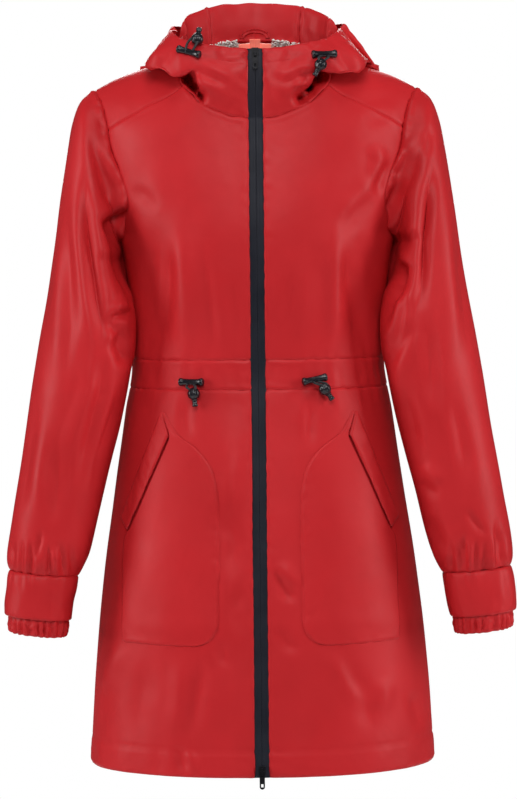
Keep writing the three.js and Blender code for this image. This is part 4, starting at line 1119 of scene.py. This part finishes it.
def build_hood():
    s = shares(HOOD_HEIGHT, HOOD_STEP)
    share = spaced(count_of(185, 2.6), HOOD_WIDTH) * HOOD_SEAM
    u, v = np.meshgrid(share, s)
    side = hood(u, v)

    def relief(p, n, which):
        height = np.zeros(u.shape)
        for rise, wide, high, line in HOOD_FOLDS:
            height += stroke(u, v * wide / high, rise, wide, [(a, b * wide / high) for a, b in line])
        height = height * smooth(v / 0.1) + 0.9 * ripple(p, 60, 71 + which) + 0.5 * ripple(p, 24, 73)
        return height + 0.6 * bell(v - 0.94, 0.09) * ripple(p, 14, 75)

    def shaped(which):
        points = pulled_hood(side if which > 0 else mirror(side), which)
        points[..., 1] += hollow_depth(points, v, which)
        return points

    pair("hood_side", shaped, 1, relief, True,
         seams={"top": CORD_SEAM, "bottom": (HOOD_CHANNEL,), "left": ZIP_SEAM, "right": DOUBLE_SEAM})
    share = lerp(1.0, HOOD_SEAM, spaced(count_of(80, 3.2), 90))
    across, up = np.meshgrid(share, s)
    # rounds off the ridge that the two mirrored halves would make where they meet
    off = 1 - across
    round_off = (np.hypot(off, 0.035) - off) * (1 - smooth(off / (1 - HOOD_SEAM))) * smooth(up / 0.15)
    middle = hood(across - round_off, up)
    middle[..., 0] = hood(across, up)[..., 0]
    cloth("cloth_hood_centre", both_sides(middle), -1,
          relief=lambda p, n: ripple(p, 70, 81, (1.6, 1, 1)) + 0.5 * ripple(p, 28, 83),
          seams={"top": CORD_SEAM, "bottom": (HOOD_CHANNEL,), "left": DOUBLE_SEAM, "right": DOUBLE_SEAM})


# Across the zip tape from its middle: the columns of its mesh, and how high its coated lip stands.
TAPE_COLUMNS = [0.25, 0.5, 0.9, 1.5, 2.3, 3.2, 4.6, 6.2, 7.6, 8.5, 9.5, 11.0]
TAPE_LIP = [
    (0.25, -0.9), (0.7, 0.15), (1.6, 0.5), (3.0, 0.3), (3.6, -0.1), (6.5, -0.2), (8.6, -0.9), (9.5, -2),
    (11, -2.2),
]
TOOTH_PITCH = 1.9
TOOTH_SHIFT = 0.75
TOOTH = np.array([(-1, 0, -0.6), (1, 0, -0.6), (1, 0, 0.6), (-1, 0, 0.6), (0, -0.75, 0), (0, 0.6, 0)])


def build_zip():
    """Both tapes, and the teeth between them from the hem to the collar's top."""
    z = np.linspace(HEM_Z, NECK[0][1], int(420 / ROUGH))
    low = on_torso(np.full(z.shape, 0.35), z, -1)
    high = hood(np.zeros(50), np.linspace(0.03, 1, 50))
    line = np.concatenate([low[:, 1:], high[:, 1:]])
    grid = np.stack([np.insert(line, 0, x, 1) for x in TAPE_COLUMNS], 1)
    lifts = np.broadcast_to(np.interp(TAPE_COLUMNS, *np.transpose(TAPE_LIP)), grid.shape[:2])
    pair("zip_tape", grid, 1, lambda p, n: lifts, material=ZIP, slot="zip_tape", thickness=0.8, held="hung")
    lengths = running_length(line)
    at = np.arange(6, lengths[-1] - 3, TOOTH_PITCH)
    y, z = read_along(at, lengths, line).T
    x = np.where(np.arange(len(at)) % 2, TOOTH_SHIFT, -TOOTH_SHIFT)
    teeth = np.stack([x, y - 0.2, z], -1)[:, None] + TOOTH
    fasten(add_mesh("zip_coil", *many(teeth, OCTAHEDRON), ZIP_COIL), "zip_tape")


def build_pockets():
    aside, down = mesh_shares("pocket")
    level_z = lerp(POCKET[0][0], POCKET[-1][0], down)
    near, far = np.moveaxis(table(POCKET, level_z)[:, None], -1, 0)
    x = lerp(near, far, aside)
    z = np.broadcast_to(level_z[:, None], x.shape)
    low_edge = z - POCKET[-1][0]
    edge = np.minimum(x - near, low_edge)
    slit = smooth((z + 585) / 10) * smooth((-455 - z) / 12)
    lift = 1.15 + 0.5 * smooth(edge / 12) + slit * 0.8 * np.exp(-(far - x) / 9)

    def relief(p, n, side):
        height = body_relief(p, n)
        height += 0.3 * bell(edge, 9) * (1 + ripple(p, 15, 91 + side, (1.5, 1, 1.5)))
        return height + 0.5 * bell(low_edge - 22, 14) * (1 + ripple(p, 60, 95, (2.5, 1, 1)))

    pair("pocket", lifted_torso(x, z, -1, lift), -1, relief, True,
         seams={"left": (1.2, 7.0), "bottom": (1.2, 7.0)})
    t = shares(150, 2.6)
    across = spaced(4, 18, (0.6, 1.4, 2.6))
    ends = np.array(WELT_EDGES)[:, :, None]
    slit_x, slit_z, outer_x, outer_z = lerp(ends[0], ends[1], t)[..., None]
    lift = lerp(3.4, 1.7, across) * smooth(np.minimum(t, 1 - t)[:, None] / 0.05 + 0.7)
    welt = lifted_torso(lerp(slit_x, outer_x, across), lerp(slit_z, outer_z, across), -1, lift)
    pair("pocket_welt", welt, -1, lambda p, n, side: 0.2 * ripple(p, 16, 97 + side) + body_relief(p, n), True,
         thickness=1.6, seams={"left": (1.6,), "right": (1.6, 6.0), "top": (1.6,), "bottom": (1.6,)})


FACING_LIFT = 2.8
TAPE_LIFT = FACING_LIFT + 2.55
TAPE_TILT = 0.34
CURLS = int(1500 / ROUGH)
CURL_SHAPE = np.array([1.35, 0.8, 0.8])
TAPE_HALF = 22


def inside_back_neck(last_share, share_count, drops, lift):
    """A half strip inside the back neck, from the middle outwards, below the neck seam."""
    share, drop = np.meshgrid(lerp(1.0, last_share, np.linspace(0, 1, share_count)), drops)
    row = through(NECK, share)
    return lifted_torso(row[..., 0], row[..., 1] - drop, 1.0, -lift)


def build_fleece():
    """The facing, with curls of pile standing up from it beside the tape."""
    base = inside_back_neck(0.8, int(46 / ROUGH), np.linspace(1.5, 30, int(22 / ROUGH)), FACING_LIFT + 0.6)
    pile = lambda p, n: -0.9 * np.abs(ripple(p, 4.4, 101)) - 0.5 * np.abs(ripple(p, 2.6, 103))
    cloth("cloth_fleece_facing", both_sides(base), 1, FLEECE, relief=pile, slot="fleece", thickness=1.6,
          held="stretched")
    rng = np.random.default_rng(7)
    row = through(NECK, rng.uniform(0.8, 1, CURLS))
    drop = rng.uniform(-4.5, 12, CURLS)
    inwards = FACING_LIFT + 2.4 + rng.uniform(-0.8, 0.8, CURLS)
    place = lifted_torso(row[..., 0], row[..., 1] - drop, 1.0, -inwards)
    place[:, 0] *= np.where(rng.random(CURLS) < 0.5, -1, 1)
    corners, faces = blob()
    curls = []
    for centre in place[np.abs(place[:, 0]) > TAPE_HALF]:
        size = rng.uniform(0.8, 1.7)
        turn = Matrix.Rotation(rng.uniform(0, 6.3), 3, Vector(rng.normal(size=3)).normalized())
        curls.append(corners * CURL_SHAPE * size @ np.array(turn).T + centre)
    fasten(add_mesh("fleece_curls", *many(np.array(curls), faces), FLEECE), "fleece")


def build_inner_neck():
    """The tape at the back neck, its tab and the hanger loop on the hood's stand."""
    drops = np.linspace(0.5, 16, 12)
    tape = inside_back_neck(0.938, 14, drops, TAPE_LIFT + TAPE_TILT * drops[:, None])
    ribs = lambda p, n: 0.22 * np.cos(p[..., 2] * 2 * math.pi / 2.2)
    cloth("cloth_neck_tape", both_sides(tape), 1, CORAL_PAINTED_GLOW, relief=ribs, slot="coral_tape", thickness=0.9,
          held="stretched")
    drops = np.concatenate([np.linspace(-6, 2.5, 8), np.linspace(4, 16, 8)])
    x, drop = np.meshgrid(np.linspace(-8, 8, 14), drops)
    lift = TAPE_LIFT + 1.4 + TAPE_TILT * np.maximum(drop, 0)
    tab = lifted_torso(x, NECK[-1][1] - drop - 1, 1.0, -lift)
    tab[..., 1] -= np.maximum(2.5 - drop, 0) / 8.5 * 1.5
    cloth("cloth_label_tab", tab, 1, CORAL_PAINTED_GLOW, slot="coral_tape", thickness=0.7, held="hung")

    turn = np.linspace(0, math.pi, 40)
    bands = np.linspace(0, 4.5, 6)
    arches = [((band - 19) * np.cos(turn), 31 + (12 - band) * np.sin(turn)) for band in bands]
    loop = np.stack([inside_stand(x, z, 2.7) for x, z in arches], 1)
    rolled = np.broadcast_to(0.5 * np.sin(np.linspace(0, math.pi, 6)), loop.shape[:2])
    cloth("cloth_hanger_loop", loop, -1, relief=lambda p, n: rolled, thickness=1.0, held="hung",
          seams={"left": (0.9,), "right": (0.9,)})


def inside_stand(x, z, lift):
    """The inner face of the hood's stand behind the neck, moved inwards by lift."""
    y = np.empty(x.shape)
    for i, (xi, zi) in enumerate(zip(x, z)):
        column = hood(1 - abs(xi) / (8 * NECK[-2][0]), np.linspace(0, 6 / 19, 7))
        y[i] = np.interp(zi, column[:, 2], column[:, 1])
    return np.stack([x, y - lift, z], -1)


def blob():
    """A small rounded body of twenty faces."""
    g = (1 + 5 ** 0.5) / 2
    v = np.array([(-1, g, 0), (1, g, 0), (-1, -g, 0), (1, -g, 0), (0, -1, g), (0, 1, g), (0, -1, -g),
                  (0, 1, -g), (g, 0, -1), (g, 0, 1), (-g, 0, -1), (-g, 0, 1)])
    f = [(0, 11, 5), (0, 5, 1), (0, 1, 7), (0, 7, 10), (0, 10, 11), (1, 5, 9), (5, 11, 4), (11, 10, 2),
         (10, 7, 6), (7, 1, 8), (3, 9, 4), (3, 4, 2), (3, 2, 6), (3, 6, 8), (3, 8, 9), (4, 9, 5), (2, 4, 11),
         (6, 2, 10), (8, 6, 7), (9, 8, 1)]
    return v / np.linalg.norm(v[0]), f


def closed_body(rings, flip=False):
    """Joins rings of points and closes both ends."""
    rows, sides = len(rings), len(rings[0])
    way = -1 if flip else 1
    ends = [np.arange(sides)[::-way], np.arange(rows * sides)[-sides:][::way]]
    return np.concatenate(rings), quads(rows, sides, True, flip).tolist() + [end.tolist() for end in ends]


def circle(sides):
    angle = np.arange(sides) / sides * 2 * math.pi
    return np.cos(angle)[:, None], np.sin(angle)[:, None]


def lathe(profile, sides, ribbed=()):
    """Turns a profile of radius and height round its own Z axis, with ribs in a range of heights."""
    cosine, sine = circle(sides)
    rib = (0.5 + 0.5 * np.cos(np.arange(sides) / sides * 16 * math.pi)) ** 2
    rings = []
    for radius, height in profile:
        dent = 0.1 if ribbed and ribbed[0] < height < ribbed[1] else 0.0
        r = radius * (1 - dent * rib[:, None])
        rings.append(np.concatenate([r * cosine, r * sine, np.full((sides, 1), float(height))], 1))
    return closed_body(rings)


def tube(points, radius, sides=10):
    """A round strand along a smooth line through points."""
    cosine, sine = circle(sides)
    path = through(points, np.linspace(0, 1, 24))
    ahead = unit(np.gradient(path, axis=0))
    up = np.array([0.0, 0.0, 1.0]) if abs(ahead[0][2]) < 0.9 else np.array([1.0, 0.0, 0.0])
    rings = []
    for place, way in zip(path, ahead):
        side = unit(np.cross(way, up))
        up = unit(np.cross(side, way))
        rings.append(place + radius * (cosine * side + sine * up))
    return closed_body(rings, flip=True)


def hood_place(share, s):
    """A place on the hood's surface and the direction out of it."""
    at = lambda u, v: hood(np.array(u), np.array(v))
    step = 0.02
    across = at(share + step, s) - at(share - step, s)
    up = at(share, min(s + step, 1)) - at(share, s - step)
    return at(share, s), unit(np.cross(across, up))


def front_place(x, z):
    """A place on the torso's front and the direction out of it."""
    x, z, side = floats(x, z, -1)
    return on_torso(x, z, side), torso_out(x, z, side)


BALL = 7.6
GRIP_RADIUS = 5.0
ABOVE_CLOTH = 0.45
# what and which side, places of lock and grip, the grip's sinking, slopes of grip and plunger, side
LOCKS = [
    ("hood", "right", hood_place(0.303, 0.985), hood_place(0.325, 0.86), 1.35, -18, 86, -1),
    ("hood", "left", hood_place(0.303, 0.7), hood_place(0.335, 0.83), 1.15, 2, -120, 1),
    ("waist", "right", front_place(76, -412), front_place(80, -397.5), 0.8, 0, -80, -1),
    ("waist", "left", front_place(78, -408), front_place(67, -395.5), 0.3, 10, -55, 1),
]
# half profiles of the lock's collar and plunger, and of the grip, as radius and height
PLUNGER = [
    (3.9, 7.2), (3.9, 7.9), (3.0, 8.1), (3.0, 12.6), (3.3, 12.9), (3.5, 13.6), (3.5, 15.2), (3.1, 15.9),
    (1.6, 15.6),
]
GRIP = [
    (3.7, 0), (3.7, 4), (3.9, 8), (4.3, 11), (4.9, 12.6), (5.0, 14.2), (4.6, 15.2), (3.0, 15.8), (1.5, 15.3),
]
RIBBED = (-6.4, 5.2)
STRAND_RADIUS = 1.5
STRAND_SHIFT = 3.4


def local_frame(place, out, lift, side):
    """A lock's frame, with X across as seen from outside, Z up and -Y outwards."""
    way, at = mirror(out) if side < 0 else out, mirror(place) if side < 0 else place
    up = unit(np.array([0, 0, 1.0]) - way * way[2])
    return np.stack([unit(np.cross(-way, up)), -way, up], 1), at + way * lift


def hard_piece(name, body, degrees, turn, at):
    """Lays a body made along Z in the cloth's plane, pointing degrees round from X."""
    vertices, faces = body
    a = math.radians(degrees - 90)
    c, s = math.cos(a), math.sin(a)
    vertices = vertices @ np.array([[c, 0, -s], [0, 1, 0], [s, 0, c]]).T
    fasten(add_mesh(f"{name}_look", vertices @ turn.T + at, faces, BLACK), "hard_plastic", name)


def build_locks():
    """Cord locks with pressed-in ribs, waisted cord grips, and two strands from each to each."""
    arc = np.linspace(0.02, math.pi - 0.25, 18)
    ball = [(BALL * math.sin(t), -BALL * math.cos(t)) for t in arc]
    lock = lathe(ball + PLUNGER, 40, RIBBED)
    grip = lathe([(r, -h) for r, h in GRIP[:0:-1]] + GRIP, 32)
    for kind, label, lock_at, grip_at, sink, slope, plunger, side in LOCKS:
        turn, at = local_frame(*lock_at, BALL + ABOVE_CLOTH, side)
        grip_turn, grip_place = local_frame(*grip_at, GRIP_RADIUS + ABOVE_CLOTH - sink, side)
        hard_piece(f"{kind}_lock_{label}", lock, plunger, turn, at)
        hard_piece(f"{kind}_grip_{label}", grip, slope, grip_turn, grip_place)
        vertices, faces = [], []
        for shift in (-STRAND_SHIFT, STRAND_SHIFT):
            start = grip_place + grip_turn @ np.array([shift, -1.0, -2.5])
            end = at + turn @ np.array([shift * 0.7, -3.0, 4.0])
            middle = (start + end) / 2 + grip_turn @ np.array([shift * 0.9, -2.4, 0.0])
            points, strand_faces = tube([start, middle, end], STRAND_RADIUS)
            faces += [[i + len(vertices) for i in face] for face in strand_faces]
            vertices += points.tolist()
        fasten(add_mesh(f"{kind}_cord_{label}", vertices, faces, CORD), "hard_plastic")


def build_sliders():
    """The sliders and their pulls: the CAD part's own forms with rounded edges."""
    for node, body in (("slider_top", "coat"), ("slider_bottom", "coat"), ("pull_top", "top_pull"),
                       ("pull_bottom", "bottom_pull")):
        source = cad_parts[node]
        obj = source.copy()
        obj.data = source.data.copy()
        obj.name = f"{node}_look"
        obj.parent = None
        for key in list(obj.keys()):
            del obj[key]
        obj.data.materials.clear()
        obj.data.materials.append(DARK_METAL)
        bevel = link(obj).modifiers.new("round", "BEVEL")
        bevel.width = 0.35 * MM
        bevel.segments = 3
        bevel.limit_method = "ANGLE"
        bevel.angle_limit = math.radians(35)
        fasten(obj, "dark_metal", node, body=body)


def finish_stitches():
    vertices, faces = many(np.concatenate(stitches), OCTAHEDRON)
    fasten(add_mesh("stitching", vertices, faces, RED_THREAD, smooth_faces=False), "shell_cloth")


def build_stage():
    """A round pale floor below the coat."""
    cosine, sine = circle(96)
    rim = np.concatenate([FLOOR_RADIUS * cosine, FLOOR_RADIUS * sine, np.full((96, 1), FLOOR_Z)], 1)
    paper = look("pale_paper", (0.82, 0.82, 0.82), (0.86, 0.86, 0.86), 1.5, 0.9, 40, 0.02, specular=0.1)
    add_mesh("floor", rim, [range(96)], paper, smooth_faces=False)


# Each softbox: its name, place, what it points at, width and height in metres, and power.
SOFTBOXES = [
    ("side_left", (-3.0, -0.8, 0.3), (0, -0.1, -0.4), (0.9, 2.2), 48),
    ("side_right", (3.0, -0.8, 0.3), (0, -0.1, -0.4), (0.9, 2.2), 48),
    ("front_high", (0, -3.2, 1.6), (0, 0, -0.35), (2.2, 1.2), 69),
    ("top", (0, -0.9, 2.3), (0, 0.05, 0), (1.2, 0.8), 14),
    ("back", (0, 3.4, 0.7), (0, 0, -0.4), (1.6, 1.8), 78),
]
SURROUND_LIGHT = 0.07
WHITE = (1, 1, 1, 1)


def build_lights():
    """Softboxes, and a white surround that gives off only a little light itself."""
    for name, place, aim, size, power in SOFTBOXES:
        data = bpy.data.lights.new(name, "AREA")
        data.shape = "RECTANGLE"
        data.size, data.size_y = size
        data.energy = power
        obj = link(bpy.data.objects.new(name, data))
        obj.location = place
        obj.rotation_euler = (Vector(aim) - Vector(place)).to_track_quat("-Z", "Y").to_euler()
    world = bpy.data.worlds.new("studio")
    bpy.context.scene.world = world
    world.use_nodes = True
    tree = world.node_tree
    dim = tree.nodes["Background"]
    dim.inputs["Color"].default_value = WHITE
    dim.inputs["Strength"].default_value = SURROUND_LIGHT
    seen = add_node(tree, "ShaderNodeBackground", Color=WHITE, Strength=1.0)
    rays = add_node(tree, "ShaderNodeLightPath")
    mix = add_node(tree, "ShaderNodeMixShader", Fac=rays.outputs["Is Camera Ray"])
    tree.links.new(dim.outputs["Background"], mix.inputs[1])
    tree.links.new(seen.outputs["Background"], mix.inputs[2])
    tree.links.new(mix.outputs["Shader"], tree.nodes["World Output"].inputs["Surface"])
    bpy.context.scene.view_settings.view_transform = "Standard"


def build_camera():
    data = bpy.data.cameras.new("photo_view")
    data.sensor_fit = "VERTICAL"
    data.sensor_height = 24
    data.lens = 88.9
    data.dof.use_dof = False
    data.clip_end = 50
    obj = link(bpy.data.objects.new("photo_view", data))
    place, aim = Vector((0, -3.7, -0.25)), Vector((0, 0, -0.424))
    turn = (aim - place).to_track_quat("-Z", "Y").to_matrix()
    turn = turn @ Matrix.Rotation(math.radians(-0.57), 3, "Z")
    obj.matrix_world = Matrix.Translation(place) @ turn.to_4x4()
    bpy.context.scene.camera = obj


build_body()
build_sleeves()
build_hood()
build_zip()
build_pockets()
build_fleece()
build_inner_neck()
build_locks()
build_sliders()
finish_stitches()
build_stage()
build_lights()
build_camera()
